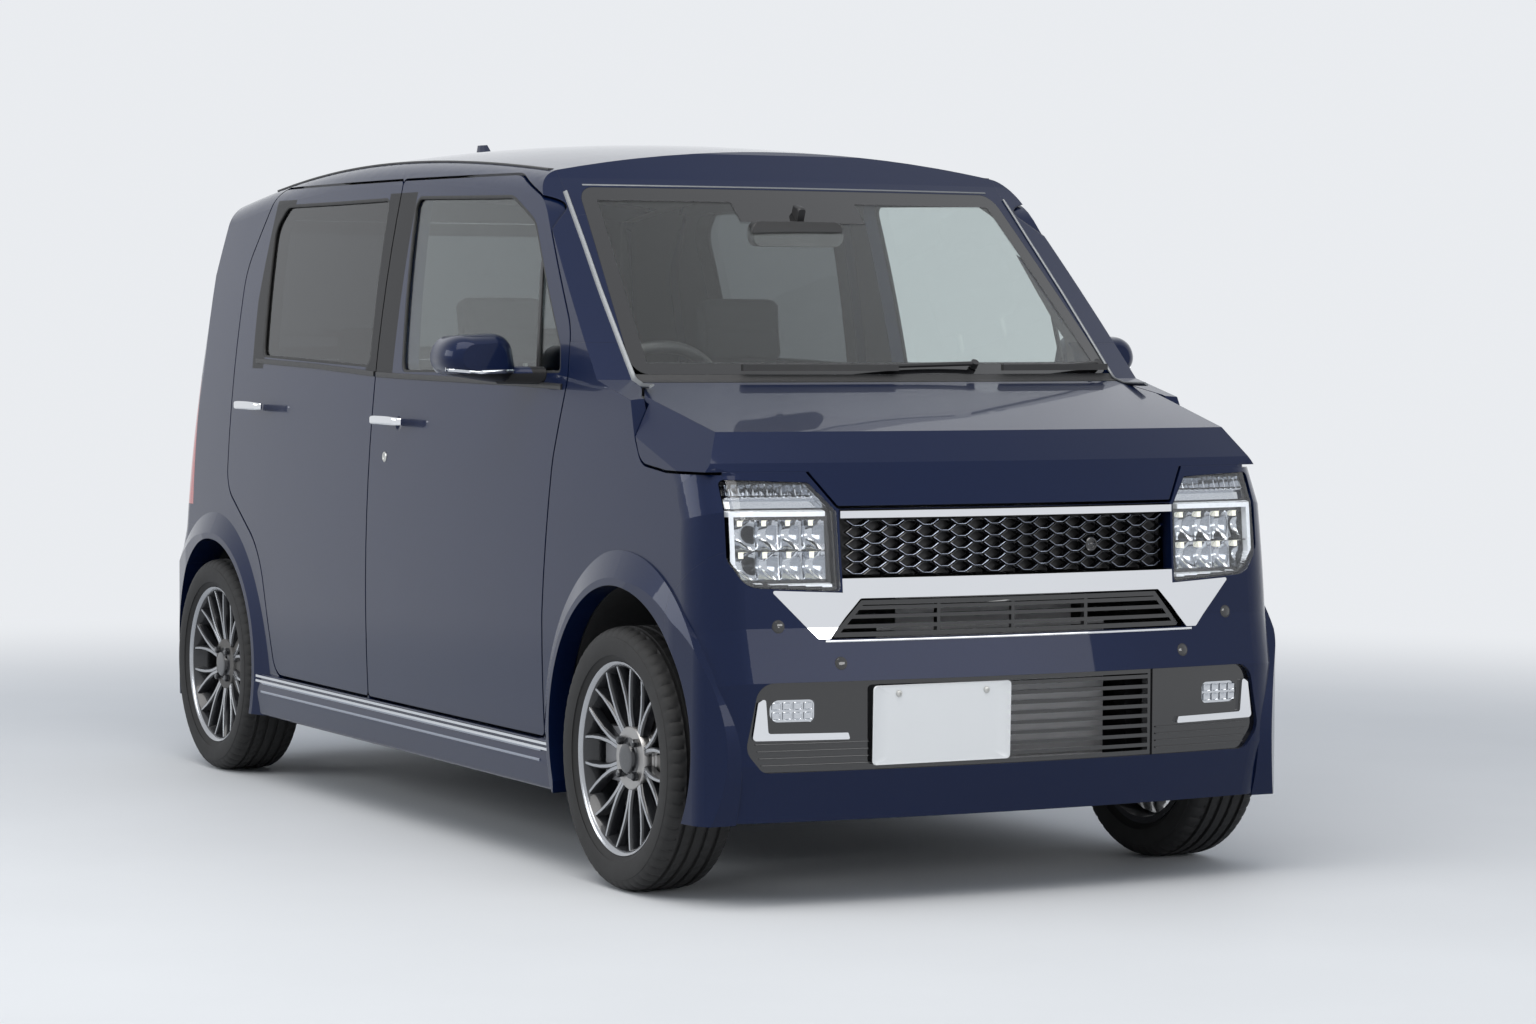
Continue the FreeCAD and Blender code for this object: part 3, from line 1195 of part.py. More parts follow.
add_piece("cowl", cowl())
add_piece("grille_mesh", grille_mesh())
add_piece("lower_grilles", lower_grilles())
add_piece("headlamps", headlamps())
add_piece("headlamp_lenses", headlamp_lenses())
add_piece("fog_bezels", fog_bezels())
add_piece("fog_lamps", fog_lamps())
add_piece("nose_garnish", nose_garnish())
add_piece("bright_trim", bright_trim())
add_piece("wipers", wipers())
add_piece("tail_lamps", tail_lamps())
add_piece("floor_pan", floor_pan())
add_piece("wheel_houses", Part.makeCompound([
    solid for arch, inner in ((FRONT_ARCH, FRONT_HOUSE), (REAR_ARCH, REAR_HOUSE))
    for name, sign in SIDES for solid in wheel_house(arch, inner, sign).Solids]))
add_piece("front_frame", front_frame())
add_piece("front_suspension", front_suspension())
add_piece("rear_axle", rear_axle())
add_piece("exhaust", exhaust())
add_piece("dashboard", dashboard())
add_piece("steering_wheel", steering_wheel())
add_piece("rear_seat", rear_seat())
left_mirror = door_mirror()
for side_name, side_sign in SIDES:
    add_piece(f"front_seat_{side_name}", front_seat(side_sign))
    add_piece(f"knuckle_{side_name}", knuckle(side_sign))
    add_piece(f"mirror_{side_name}", on_side(left_mirror, side_sign))
    for handle_name, place, level in HANDLES:
        add_piece(f"handle_{handle_name}_{side_name}", door_handle(place, level, side_sign))
    for axle_name, front in (("front", True), ("rear", False)):
        middle = wheel_centre(front)
        wheel = Part.makeCompound(rim(middle).Solids + brake(middle, front).Solids)
        add_piece(f"rim_{axle_name}_{side_name}", on_side(wheel, side_sign))
        add_piece(f"tyre_{axle_name}_{side_name}", on_side(tyre(middle), side_sign))

# Plain boxes whose sizes are bound to the sheet.
BLOCKS = (
    # label, length in x, y, z, low corner x, y, z
    ("engine_block", "440", "330", "400", "-160", "front_overhang - total_length / 2 - 190", "222 + seat_gap"),
    ("radiator", "560", "36", "300", "-280", "-1570", "270 + seat_gap"),
    ("fuel_tank", "360", "560", "38", "-20", "-330", "floor_height - 38 - seat_gap"),
)
for label, long_x, long_y, long_z, low_x, low_y, low_z in BLOCKS:
    block = doc.addObject("Part::Box", label)
    block.Label = label
    for field, text in (("Length", long_x), ("Width", long_y), ("Height", long_z),
                        ("Placement.Base.x", low_x), ("Placement.Base.y", low_y), ("Placement.Base.z", low_z)):
        for alias, value, meaning in SIZES:
            text = text.replace(alias, "Sizes." + alias)
        block.setExpression(field, text)

doc.recompute()
os.makedirs("parts", exist_ok=True)
for piece in doc.Objects:
    if "Invalid" in piece.State or "Error" in piece.State:
        raise ValueError(f"{piece.Label} did not recompute")
    if not hasattr(piece, "Shape") or piece.Label == "Sizes":
        continue
    if piece.Shape.isNull() or not piece.Shape.isValid():
        raise ValueError(f"{piece.Label} has no valid shape")
    print(piece.Label, len(piece.Shape.Solids), round(piece.Shape.Volume / 1e6, 2), "litres")
    piece.Shape.exportStep(f"parts/{piece.Label}.step")
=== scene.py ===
"""Dresses the kei car: paint, glass, lamps, wheels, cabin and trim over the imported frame."""

from __future__ import annotations

import logging
import math
from dataclasses import dataclass, field
from enum import Enum

import bmesh
import bpy
import numpy as np
from mathutils import Matrix, Vector


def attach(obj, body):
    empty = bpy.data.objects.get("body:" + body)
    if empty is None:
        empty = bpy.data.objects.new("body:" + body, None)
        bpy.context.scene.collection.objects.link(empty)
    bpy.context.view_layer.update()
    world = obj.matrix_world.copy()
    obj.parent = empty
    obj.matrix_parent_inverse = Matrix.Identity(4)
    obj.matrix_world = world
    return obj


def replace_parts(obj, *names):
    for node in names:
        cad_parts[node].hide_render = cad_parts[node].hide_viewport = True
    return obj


LOG = logging.getLogger("kei_car")
MM = 0.001
SIDES = (("right", -1.0), ("left", 1.0))

# Places that the solids have too, in millimetres.
FRONT_AXLE, REAR_AXLE, HUB_HEIGHT, HALF_TRACK = -1245.5, 1274.5, 281.0, 652.5
TYRE_RADIUS = 281.0
# Places off the car, from which points drop onto it.
BESIDE, AHEAD, BEHIND, ABOVE = 900.0, -1800.0, 1900.0, 1900.0


# ---------------------------------------------------------------- shader maths


class Level:
    """A number that varies over a surface: a socket that takes Python's operators."""

    def __init__(self, board: "Board", socket: bpy.types.NodeSocket) -> None:
        """Wraps a socket of a board's node tree."""
        self.board = board
        self.socket = socket

    def maths(self, operation: str, *terms: "Level | float", clamp: bool = False) -> "Level":
        """Adds a Math node.

        Args:
            operation: the Math node's operation.
            terms: its inputs, in order.
            clamp: whether the result is held between 0 and 1.

        Returns:
            The node's result.
        """
        node = self.board.add("ShaderNodeMath", {"operation": operation, "use_clamp": clamp}, dict(enumerate(terms)))
        return Level(self.board, node.outputs[0])

    def __add__(self, other: "Level | float") -> "Level":
        """Adds."""
        return self.maths("ADD", self, other)

    __radd__ = __add__

    def __sub__(self, other: "Level | float") -> "Level":
        """Subtracts."""
        return self.maths("SUBTRACT", self, other)

    def __rsub__(self, other: float) -> "Level":
        """Subtracts from a plain number."""
        return self.maths("SUBTRACT", other, self)

    def __mul__(self, other: "Level | float") -> "Level":
        """Multiplies."""
        return self.maths("MULTIPLY", self, other)

    __rmul__ = __mul__

    def __truediv__(self, other: "Level | float") -> "Level":
        """Divides."""
        return self.maths("DIVIDE", self, other)

    def __abs__(self) -> "Level":
        """Drops the sign."""
        return self.maths("ABSOLUTE", self)

    def __or__(self, other: "Level | float") -> "Level":
        """Takes the larger of two masks."""
        return self.maths("MAXIMUM", self, other)

    def rise(self, edge: float, soft: float) -> "Level":
        """Makes a mask that goes smoothly from 0 to 1 as the number passes an edge.

        Args:
            edge: where the mask is a half.
            soft: how far to each side the change reaches.

        Returns:
            The mask.
        """
        node = self.board.add("ShaderNodeMapRange", {"interpolation_type": "SMOOTHSTEP"},
                              {"Value": self, "From Min": edge - soft, "From Max": edge + soft})
        return Level(self.board, node.outputs[0])

    def within(self, low: float, high: float, soft: float) -> "Level":
        """Makes a mask that is 1 between two numbers."""
        return self.rise(low, soft) * (1 - self.rise(high, soft))


class Board:
    """One material's node tree, with short ways to the nodes that the finishes use."""

    def __init__(self, name: str) -> None:
        """Starts an empty material.

        Args:
            name: the material's name.
        """
        self.material = bpy.data.materials.new(name)
        self.material.use_nodes = True
        self.tree = self.material.node_tree
        self.tree.nodes.clear()
        self.output = self.tree.nodes.new("ShaderNodeOutputMaterial")

    def add(self, kind: str, settings: dict | None = None, inputs: dict | None = None) -> bpy.types.Node:
        """Adds a node.

        Args:
            kind: the node's type.
            settings: its properties, set first.
            inputs: values or links of its sockets, by name or number.

        Returns:
            The node.
        """
        node = self.tree.nodes.new(kind)
        for key, value in (settings or {}).items():
            setattr(node, key, value)
        for key, value in (inputs or {}).items():
            if isinstance(value, Level):
                self.tree.links.new(value.socket, node.inputs[key])
            elif isinstance(value, bpy.types.NodeSocket):
                self.tree.links.new(value, node.inputs[key])
            else:
                node.inputs[key].default_value = value
        return node

    def place(self) -> tuple[Level, Level, Level]:
        """Gives the point's object coordinates, in metres."""
        source = self.add("ShaderNodeTexCoord").outputs["Object"]
        parts = self.add("ShaderNodeSeparateXYZ", inputs={0: source})
        return tuple(Level(self, socket) for socket in parts.outputs)

    def facing(self) -> tuple[Level, Level, Level]:
        """Gives the surface's direction in the piece's own frame."""
        source = self.add("ShaderNodeTexCoord").outputs["Normal"]
        parts = self.add("ShaderNodeSeparateXYZ", inputs={0: source})
        return tuple(Level(self, socket) for socket in parts.outputs)

    def noise(self, scale: float, detail: float = 2.0, stretch: tuple = (1.0, 1.0, 1.0)) -> Level:
        """Gives noise on object coordinates.

        Args:
            scale: how many times per metre it changes.
            detail: how many finer layers it has.
            stretch: how the pattern is scaled along each axis.

        Returns:
            The noise, about 0 to 1.
        """
        source = self.add("ShaderNodeTexCoord").outputs["Object"]
        turned = self.add("ShaderNodeMapping", inputs={0: source, "Scale": stretch}).outputs[0]
        node = self.add("ShaderNodeTexNoise", inputs={"Vector": turned, "Scale": scale, "Detail": detail})
        return Level(self, node.outputs["Fac"])

    def cells(self, scale: float) -> Level:
        """Gives the distance to the nearest of many scattered points, on object coordinates."""
        source = self.add("ShaderNodeTexCoord").outputs["Object"]
        node = self.add("ShaderNodeTexVoronoi", inputs={"Vector": source, "Scale": scale})
        return Level(self, node.outputs["Distance"])

    def blend(self, factor: Level, first: object, second: object) -> bpy.types.NodeSocket:
        """Mixes two colours by a mask."""
        node = self.add("ShaderNodeMix", {"data_type": "RGBA"}, {0: factor, 6: first, 7: second})
        return node.outputs[2]

    def bump(self, height: Level, depth: float, normal: bpy.types.NodeSocket | None = None) -> bpy.types.NodeSocket:
        """Turns a height into a normal; depth is in metres.

        Args:
            height: the relief's height.
            depth: its depth in metres.
            normal: a normal that it builds on, or None.

        Returns:
            The normal's socket.
        """
        inputs = {"Height": height, "Distance": depth, "Strength": 1.0}
        if normal is not None:
            inputs["Normal"] = normal
        return self.add("ShaderNodeBump", inputs=inputs).outputs[0]

    def principled(self, **inputs: object) -> bpy.types.NodeSocket:
        """Adds a Principled shader; underscores in the names stand for spaces."""
        named = {key.replace("_", " "): value for key, value in inputs.items()}
        return self.add("ShaderNodeBsdfPrincipled", inputs=named).outputs[0]

    def either(self, factor: object, first: object, second: object) -> bpy.types.NodeSocket:
        """Mixes two shaders by a mask."""
        return self.add("ShaderNodeMixShader", inputs={0: factor, 1: first, 2: second}).outputs[0]

    def finish(self, shader: bpy.types.NodeSocket) -> bpy.types.Material:
        """Connects the shader to the output and gives the material."""
        self.tree.links.new(shader, self.output.inputs["Surface"])
        return self.material


def rgba(colour: tuple[float, ...], share: float = 1.0) -> tuple[float, float, float, float]:
    """Scales a colour and gives it full alpha."""
    return (colour[0] * share, colour[1] * share, colour[2] * share, 1.0)


# ---------------------------------------------------------------- finishes


class Grain(Enum):
    """What a surface's fine relief is like."""

    SMOOTH = "smooth"
    MOULDED = "moulded"
    LEATHER = "leather"
    WOVEN = "woven"
    BRUSHED = "brushed"
    CAST = "cast"


@dataclass(frozen=True)
class Finish:
    """A finish of one colour with mottle, uneven gloss and a fine relief."""

    name: str
    colour: tuple[float, float, float]
    roughness: float = 0.5
    metallic: float = 0.0
    coat: float = 0.0
    grain: Grain = Grain.SMOOTH
    size: float = 900.0
    depth: float = 0.00015
    mottle: float = 0.12
    glow: float = 0.0

    def relief(self, board: Board) -> Level:
        """Gives the relief's height, 0 to 1, by the kind of grain.

        Args:
            board: the material's board.

        Returns:
            The height.
        """
        if self.grain is Grain.LEATHER:
            return board.cells(self.size)
        if self.grain is Grain.BRUSHED:
            return board.noise(self.size, 1.0, (1.0, 0.05, 1.0))
        if self.grain is Grain.WOVEN:
            across, along, up = board.place()
            warp = (across * self.size).maths("SINE", across * self.size)
            weft = ((along + up) * self.size).maths("SINE", (along + up) * self.size)
            return warp * weft
        return board.noise(self.size, 2.0 if self.grain is Grain.MOULDED else 5.0)

    def make(self) -> bpy.types.Material:
        """Builds the material.

        Returns:
            The material.
        """
        board = Board(self.name)
        cloud = board.noise(7.0, 3.0)
        fine = board.noise(60.0, 2.0)
        colour = board.blend(cloud, rgba(self.colour, 1 - self.mottle), rgba(self.colour, 1 + self.mottle))
        inputs = {"Base_Color": colour, "Metallic": self.metallic, "Coat_Weight": self.coat,
                  "Roughness": self.roughness * (0.86 + 0.28 * fine)}
        if self.glow:
            inputs["Emission_Color"] = rgba(self.colour)
            inputs["Emission_Strength"] = self.glow
        if self.grain is not Grain.SMOOTH:
            inputs["Normal"] = board.bump(self.relief(board), self.depth)
        return board.finish(board.principled(**inputs))


class Paintwork(Enum):
    """Where a painted solid has paint, trim and black."""

    PLAIN = "plain"
    DOOR_FRONT = "door_front"
    DOOR_REAR = "door_rear"
    FRAME = "frame"
    ROOF = "roof"
    TAILGATE = "tailgate"
    MIRROR = "mirror"


@dataclass(frozen=True)
class Paint:
    """Dark blue metallic paint under a clear coat, with trim on the faces that look into the cabin."""

    name: str
    work: Paintwork = Paintwork.PLAIN
    side: float = 0.0
    body: tuple[float, float, float] = (0.0026, 0.0090, 0.040)
    trim: tuple[float, float, float] = (0.052, 0.052, 0.055)
    lining: tuple[float, float, float] = (0.42, 0.41, 0.39)
    sheen: float = 0.25
    coat_index: float = 1.24

    def masks(self, board: Board) -> tuple[Level | None, Level | None]:
        """Works out where the trim and the satin black lie.

        Args:
            board: the material's board.

        Returns:
            The trim's mask and the black's mask, or None for either.
        """
        x, y, z = board.place()
        nx, ny, nz = board.facing()
        inwards = (nx * -self.side).rise(0.3, 0.05)
        if self.work is Paintwork.DOOR_FRONT:
            pillar = y.rise(0.088, 0.0006) * z.within(1.066, 1.512, 0.0006)
            return inwards, pillar * (1 - inwards)
        if self.work is Paintwork.DOOR_REAR:
            ahead = 1 - y.rise(0.262, 0.0006)
            behind = (y + 0.16 * (z - 1.10)).rise(0.985, 0.0006) * (1 - (y + 0.10 * abs(z - 1.25)).rise(1.088, 0.0006))
            return inwards, (ahead | behind) * z.within(1.074, 1.512, 0.0006) * (1 - inwards)
        if self.work is Paintwork.FRAME:
            return inwards * z.rise(0.33, 0.01) * (1 - y.rise(1.56, 0.01)), None
        if self.work is Paintwork.ROOF:
            return (nz * -1).rise(0.3, 0.05), None
        if self.work is Paintwork.TAILGATE:
            return (ny * -1).rise(0.3, 0.05), None
        if self.work is Paintwork.MIRROR:
            low = 1 - (z + 0.04 * (y + 0.68)).rise(1.0865, 0.0005)
            return None, low | (1 - abs(x).rise(0.712, 0.0005))
        return None, None

    def make(self) -> bpy.types.Material:
        """Builds the material: flakes vary the colour and the gloss, and the clear coat lies over them.

        Returns:
            The material.
        """
        board = Board(self.name)
        flakes = board.cells(1400.0)
        drift = board.noise(3.0, 2.0)
        colour = board.blend(flakes, rgba(self.body, 1.35), rgba(self.body, 0.7))
        colour = board.blend(drift * 0.35, colour, rgba(self.body, 0.75))
        rough = 0.30 + 0.10 * flakes
        metal = None
        coat = None
        trim, black = self.masks(board)
        if black is not None:
            colour = board.blend(black, colour, rgba((0.012, 0.012, 0.013)))
            rough = rough * (1 - black) + 0.34 * black
            metal = 1 - black
            coat = 1 - 0.8 * black
        if trim is not None:
            grain = board.noise(420.0, 2.0)
            inner = self.lining if self.work is Paintwork.ROOF else self.trim
            inner = board.blend(grain, rgba(inner, 0.85), rgba(inner, 1.15))
            colour = board.blend(trim, colour, inner)
            rough = rough * (1 - trim) + 0.72 * trim
            metal = (metal if metal is not None else 1.0) * (1 - trim)
            coat = (coat if coat is not None else 1.0) * (1 - trim)
        rounded = board.add("ShaderNodeBevel", {"samples": 4}, {"Radius": 0.0022}).outputs[0]
        shader = board.principled(Base_Color=colour, Roughness=rough, Normal=rounded, Specular_IOR_Level=0.1,
                                  Metallic=self.sheen if metal is None else metal * self.sheen,
                                  Coat_Weight=1.0 if coat is None else coat, Coat_Roughness=0.02,
                                  Coat_IOR=self.coat_index)
        return board.finish(shader)


class Border(Enum):
    """Which black border a pane has."""

    NONE = "none"
    WINDSHIELD = "windshield"
    TAILGATE = "tailgate"


@dataclass(frozen=True)
class Pane:
    """Clear or tinted safety glass, which lets the lamps' light through to the cabin."""

    name: str
    tint: tuple[float, float, float]
    border: Border = Border.NONE

    def make(self) -> bpy.types.Material:
        """Builds the material.

        Returns:
            The material.
        """
        board = Board(self.name)
        smear = board.noise(14.0, 3.0)
        glass = board.principled(Base_Color=board.blend(smear, rgba(self.tint, 0.985), rgba(self.tint)),
                                 Roughness=0.0, IOR=1.45, Transmission_Weight=1.0)
        if self.border is not Border.NONE:
            x, _, z = board.place()
            if self.border is Border.WINDSHIELD:
                side = (abs(x) + 0.1635 * (z - 1.092)).rise(0.572, 0.0015)
                edge = side | z.rise(1.478, 0.0015) | (1 - z.rise(1.116, 0.0015))
                camera = (1 - abs(x + 0.031).rise(0.16, 0.0015)) * z.rise(1.432, 0.0015)
                edge = edge | camera
            else:
                side = (abs(x) + 0.145 * (z - 1.09)).rise(0.520, 0.0015)
                edge = side | z.rise(1.435, 0.0015) | (1 - z.rise(1.125, 0.0015))
            black = board.principled(Base_Color=rgba((0.008, 0.008, 0.009)), Roughness=0.08 + 0.03 * smear,
                                     Coat_Weight=0.6)
            glass = board.either(edge, glass, black)
        shadow = board.add("ShaderNodeLightPath").outputs["Is Shadow Ray"]
        through = board.add("ShaderNodeBsdfTransparent", inputs={0: rgba(self.tint, 0.9)}).outputs[0]
        return board.finish(board.either(shadow, glass, through))


@dataclass(frozen=True)
class Alloy:
    """Wheel alloy: dark gloss pockets with machined faces where the surface looks outwards."""

    name: str
    face: tuple[float, float, float] = (0.40, 0.41, 0.43)
    pocket: tuple[float, float, float] = (0.018, 0.019, 0.022)

    def make(self) -> bpy.types.Material:
        """Builds the material; the machined mask comes from the piece's own 'machined' attribute.

        Returns:
            The material.
        """
        board = Board(self.name)
        node = board.add("ShaderNodeAttribute", {"attribute_name": "machined"})
        cut = Level(board, node.outputs["Fac"]).rise(0.5, 0.12)
        lines = board.noise(900.0, 1.0, (0.2, 1.0, 1.0))
        metal = board.blend(lines, rgba(self.face, 0.85), rgba(self.face, 1.1))
        colour = board.blend(cut, rgba(self.pocket), metal)
        shader = board.principled(Base_Color=colour, Roughness=0.26 - 0.06 * cut + 0.05 * lines,
                                  Metallic=0.35 + 0.65 * cut, Coat_Weight=0.7)
        return board.finish(shader)


@dataclass(frozen=True)
class Rubber:
    """Tyre rubber: dark, with patches of dust that are paler and rougher."""

    name: str

    def make(self) -> bpy.types.Material:
        """Builds the material.

        Returns:
            The material.
        """
        board = Board(self.name)
        dust = board.noise(35.0, 4.0)
        fine = board.noise(800.0, 3.0)
        colour = board.blend(dust, rgba((0.007, 0.007, 0.0075)), rgba((0.016, 0.0155, 0.015)))
        shader = board.principled(Base_Color=colour, Roughness=0.62 + 0.22 * dust,
                                  Normal=board.bump(fine, 0.00012))
        return board.finish(shader)


FINISHES = (
    Finish("satin_black", (0.014, 0.014, 0.015), 0.42, grain=Grain.MOULDED, depth=0.00005),
    Finish("grained_black", (0.024, 0.024, 0.025), 0.62, grain=Grain.LEATHER, size=700.0, depth=0.0002),
    Finish("gloss_black", (0.006, 0.006, 0.007), 0.07, coat=1.0, mottle=0.05),
    Finish("seal_rubber", (0.012, 0.012, 0.012), 0.55, grain=Grain.MOULDED, size=500.0, depth=0.00006),
    Finish("chrome", (0.80, 0.81, 0.83), 0.045, metallic=1.0, mottle=0.02),
    Finish("dark_chrome", (0.30, 0.33, 0.40), 0.06, metallic=1.0, coat=0.5, mottle=0.03),
    Finish("silver_trim", (0.20, 0.21, 0.22), 0.38, metallic=0.7, grain=Grain.BRUSHED, depth=0.00003),
    Finish("bright_reflector", (0.62, 0.64, 0.67), 0.10, metallic=1.0, mottle=0.03),
    Finish("frosted_guide", (0.80, 0.83, 0.87), 0.28, coat=0.5, mottle=0.02, glow=0.12),
    Finish("led_chip", (0.95, 0.93, 0.80), 0.3, mottle=0.02, glow=0.5),
    Finish("plate_white", (0.74, 0.75, 0.75), 0.38, coat=0.2, mottle=0.015),
    Finish("zinc_screw", (0.52, 0.52, 0.50), 0.35, metallic=1.0, grain=Grain.CAST, depth=0.00004),
    Finish("disc_steel", (0.42, 0.41, 0.40), 0.32, metallic=1.0, grain=Grain.BRUSHED, size=1200.0, depth=0.00005),
    Finish("cast_iron", (0.13, 0.125, 0.12), 0.66, metallic=0.6, grain=Grain.CAST, size=260.0, depth=0.0006),
    Finish("caliper_grey", (0.24, 0.24, 0.25), 0.42, metallic=0.7, grain=Grain.CAST, size=300.0, depth=0.0003),
    Finish("chassis_black", (0.020, 0.020, 0.021), 0.55, grain=Grain.CAST, size=240.0, depth=0.0003),
    Finish("exhaust_steel", (0.34, 0.32, 0.29), 0.42, metallic=1.0, grain=Grain.BRUSHED, depth=0.0001),
    Finish("alloy_cast", (0.42, 0.42, 0.43), 0.48, metallic=0.9, grain=Grain.CAST, size=220.0, depth=0.0005),
    Finish("dash_plastic", (0.030, 0.030, 0.032), 0.60, grain=Grain.LEATHER, size=520.0, depth=0.0003),
    Finish("wheel_leather", (0.018, 0.018, 0.019), 0.46, grain=Grain.LEATHER, size=420.0, depth=0.0003),
    Finish("seat_cloth", (0.052, 0.053, 0.058), 0.92, grain=Grain.WOVEN, size=2600.0, depth=0.0004),
    Finish("carpet", (0.028, 0.028, 0.030), 0.96, grain=Grain.CAST, size=900.0, depth=0.0012),
    Finish("screen_glass", (0.004, 0.004, 0.005), 0.05, coat=1.0, mottle=0.02),
    Finish("mirror_glass", (0.78, 0.80, 0.82), 0.02, metallic=1.0, mottle=0.01),
    Finish("stop_red", (0.42, 0.010, 0.012), 0.12, coat=1.0, mottle=0.06),
)
OTHER_FINISHES = (
    Pane("windshield_glass", (0.90, 0.94, 0.93), Border.WINDSHIELD),
    Pane("door_glass", (0.62, 0.68, 0.67)),
    Pane("privacy_glass", (0.10, 0.11, 0.115)),
    Pane("tailgate_glass_tint", (0.10, 0.11, 0.115), Border.TAILGATE),
    Pane("lamp_cover", (0.97, 0.98, 0.99)),
    Alloy("wheel_alloy"),
    Rubber("tyre_rubber"),
)
made_materials: dict[str, bpy.types.Material] = {}


def material(name: str) -> bpy.types.Material:
    """Gives a finish's material, built when it is first asked for.

    Args:
        name: the finish's name.

    Returns:
        The material.
    """
    if name not in made_materials:
        found = [finish for finish in FINISHES + OTHER_FINISHES if finish.name == name]
        made_materials[name] = found[0].make()
    return made_materials[name]


# ---------------------------------------------------------------- surfaces


def quads(rows: int, columns: int, close_rows: bool = False, close_columns: bool = False) -> np.ndarray:
    """Gives the four-cornered faces of a grid of points, row by row.

    Args:
        rows: number of rows.
        columns: number of points in a row.
        close_rows: whether the last row joins the first.
        close_columns: whether each row is a closed ring.

    Returns:
        An array of faces, each with four point numbers.
    """
    first = np.arange(rows if close_rows else rows - 1)[:, None]
    second = np.arange(columns if close_columns else columns - 1)[None, :]
    after_row, after_column = (first + 1) % rows, (second + 1) % columns
    corners = (first * columns + second, after_row * columns + second,
               after_row * columns + after_column, first * columns + after_column)
    return np.stack(np.broadcast_arrays(*corners), axis=-1).reshape(-1, 4)


@dataclass
class Surface:
    """Points and faces of one piece, gathered from several grids, in millimetres."""

    name: str
    points: list[np.ndarray] = field(default_factory=list)
    faces: list[np.ndarray] = field(default_factory=list)
    kinds: list[np.ndarray] = field(default_factory=list)
    marks: list[np.ndarray] = field(default_factory=list)
    count: int = 0

    def grid(self, points: np.ndarray, close_rows: bool = False, close_columns: bool = False, kind: object = 0,
             flip: bool = False, mark: object = 0.0) -> "Surface":
        """Adds a grid of points.

        Args:
            points: an array of rows by columns by 3.
            close_rows: whether the last row joins the first.
            close_columns: whether each row is a ring.
            kind: the material's number, for all faces or for each.
            flip: whether the faces are turned over.
            mark: the value of the 'machined' attribute, for all points or for each.

        Returns:
            This surface.
        """
        rows, columns = points.shape[:2]
        faces = quads(rows, columns, close_rows, close_columns)
        faces = faces[:, ::-1] if flip else faces
        self.points.append(points.reshape(-1, 3))
        self.faces.append(faces + self.count)
        self.kinds.append(np.broadcast_to(np.asarray(kind, dtype=np.int32), (len(faces),)))
        self.marks.append(np.broadcast_to(np.asarray(mark, dtype=np.float32), (rows * columns,)))
        self.count += rows * columns
        return self

    def build(self, finishes: tuple[str, ...], body: str, slot: str, smooth: float = 35.0) -> bpy.types.Object:
        """Makes the object.

        Args:
            finishes: names of the finishes, in the order of the faces' kinds.
            body: the body that the piece rides on.
            slot: the record's material slot; not used.
            smooth: edges flatter than this many degrees are shaded smooth.

        Returns:
            The object.
        """
        mesh = bpy.data.meshes.new(self.name)
        points = np.concatenate(self.points) * MM
        faces = np.concatenate(self.faces)
        mesh.vertices.add(len(points))
        mesh.vertices.foreach_set("co", points.astype(np.float32).ravel())
        mesh.loops.add(faces.size)
        mesh.loops.foreach_set("vertex_index", faces.astype(np.int32).ravel())
        mesh.polygons.add(len(faces))
        mesh.polygons.foreach_set("loop_start", np.arange(0, faces.size, 4, dtype=np.int32))
        mesh.polygons.foreach_set("material_index", np.concatenate(self.kinds).astype(np.int32))
        mesh.update(calc_edges=True)
        mark = mesh.attributes.new("machined", "FLOAT", "POINT")
        mark.data.foreach_set("value", np.concatenate(self.marks).astype(np.float32))
        mesh.validate()
        for name in finishes:
            mesh.materials.append(material(name))
        piece = bpy.data.objects.new(self.name, mesh)
        bpy.context.scene.collection.objects.link(piece)
        tidy_mesh(mesh, smooth)
        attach(piece, body)
        LOG.info("%s: %d faces on %s", self.name, len(faces), body)
        return piece


def tidy_mesh(mesh: bpy.types.Mesh, smooth: float) -> None:
    """Merges doubled points, turns the faces outwards and sets the shading.

    Args:
        mesh: the mesh.
        smooth: edges flatter than this many degrees are shaded smooth.
    """
    work = bmesh.new()
    work.from_mesh(mesh)
    bmesh.ops.remove_doubles(work, verts=work.verts, dist=2e-5)
    bmesh.ops.dissolve_degenerate(work, edges=work.edges, dist=1e-6)
    bmesh.ops.recalc_face_normals(work, faces=work.faces)
    work.to_mesh(mesh)
    work.free()
    mesh.polygons.foreach_set("use_smooth", np.ones(len(mesh.polygons), dtype=bool))
    mesh.set_sharp_from_angle(angle=math.radians(smooth))


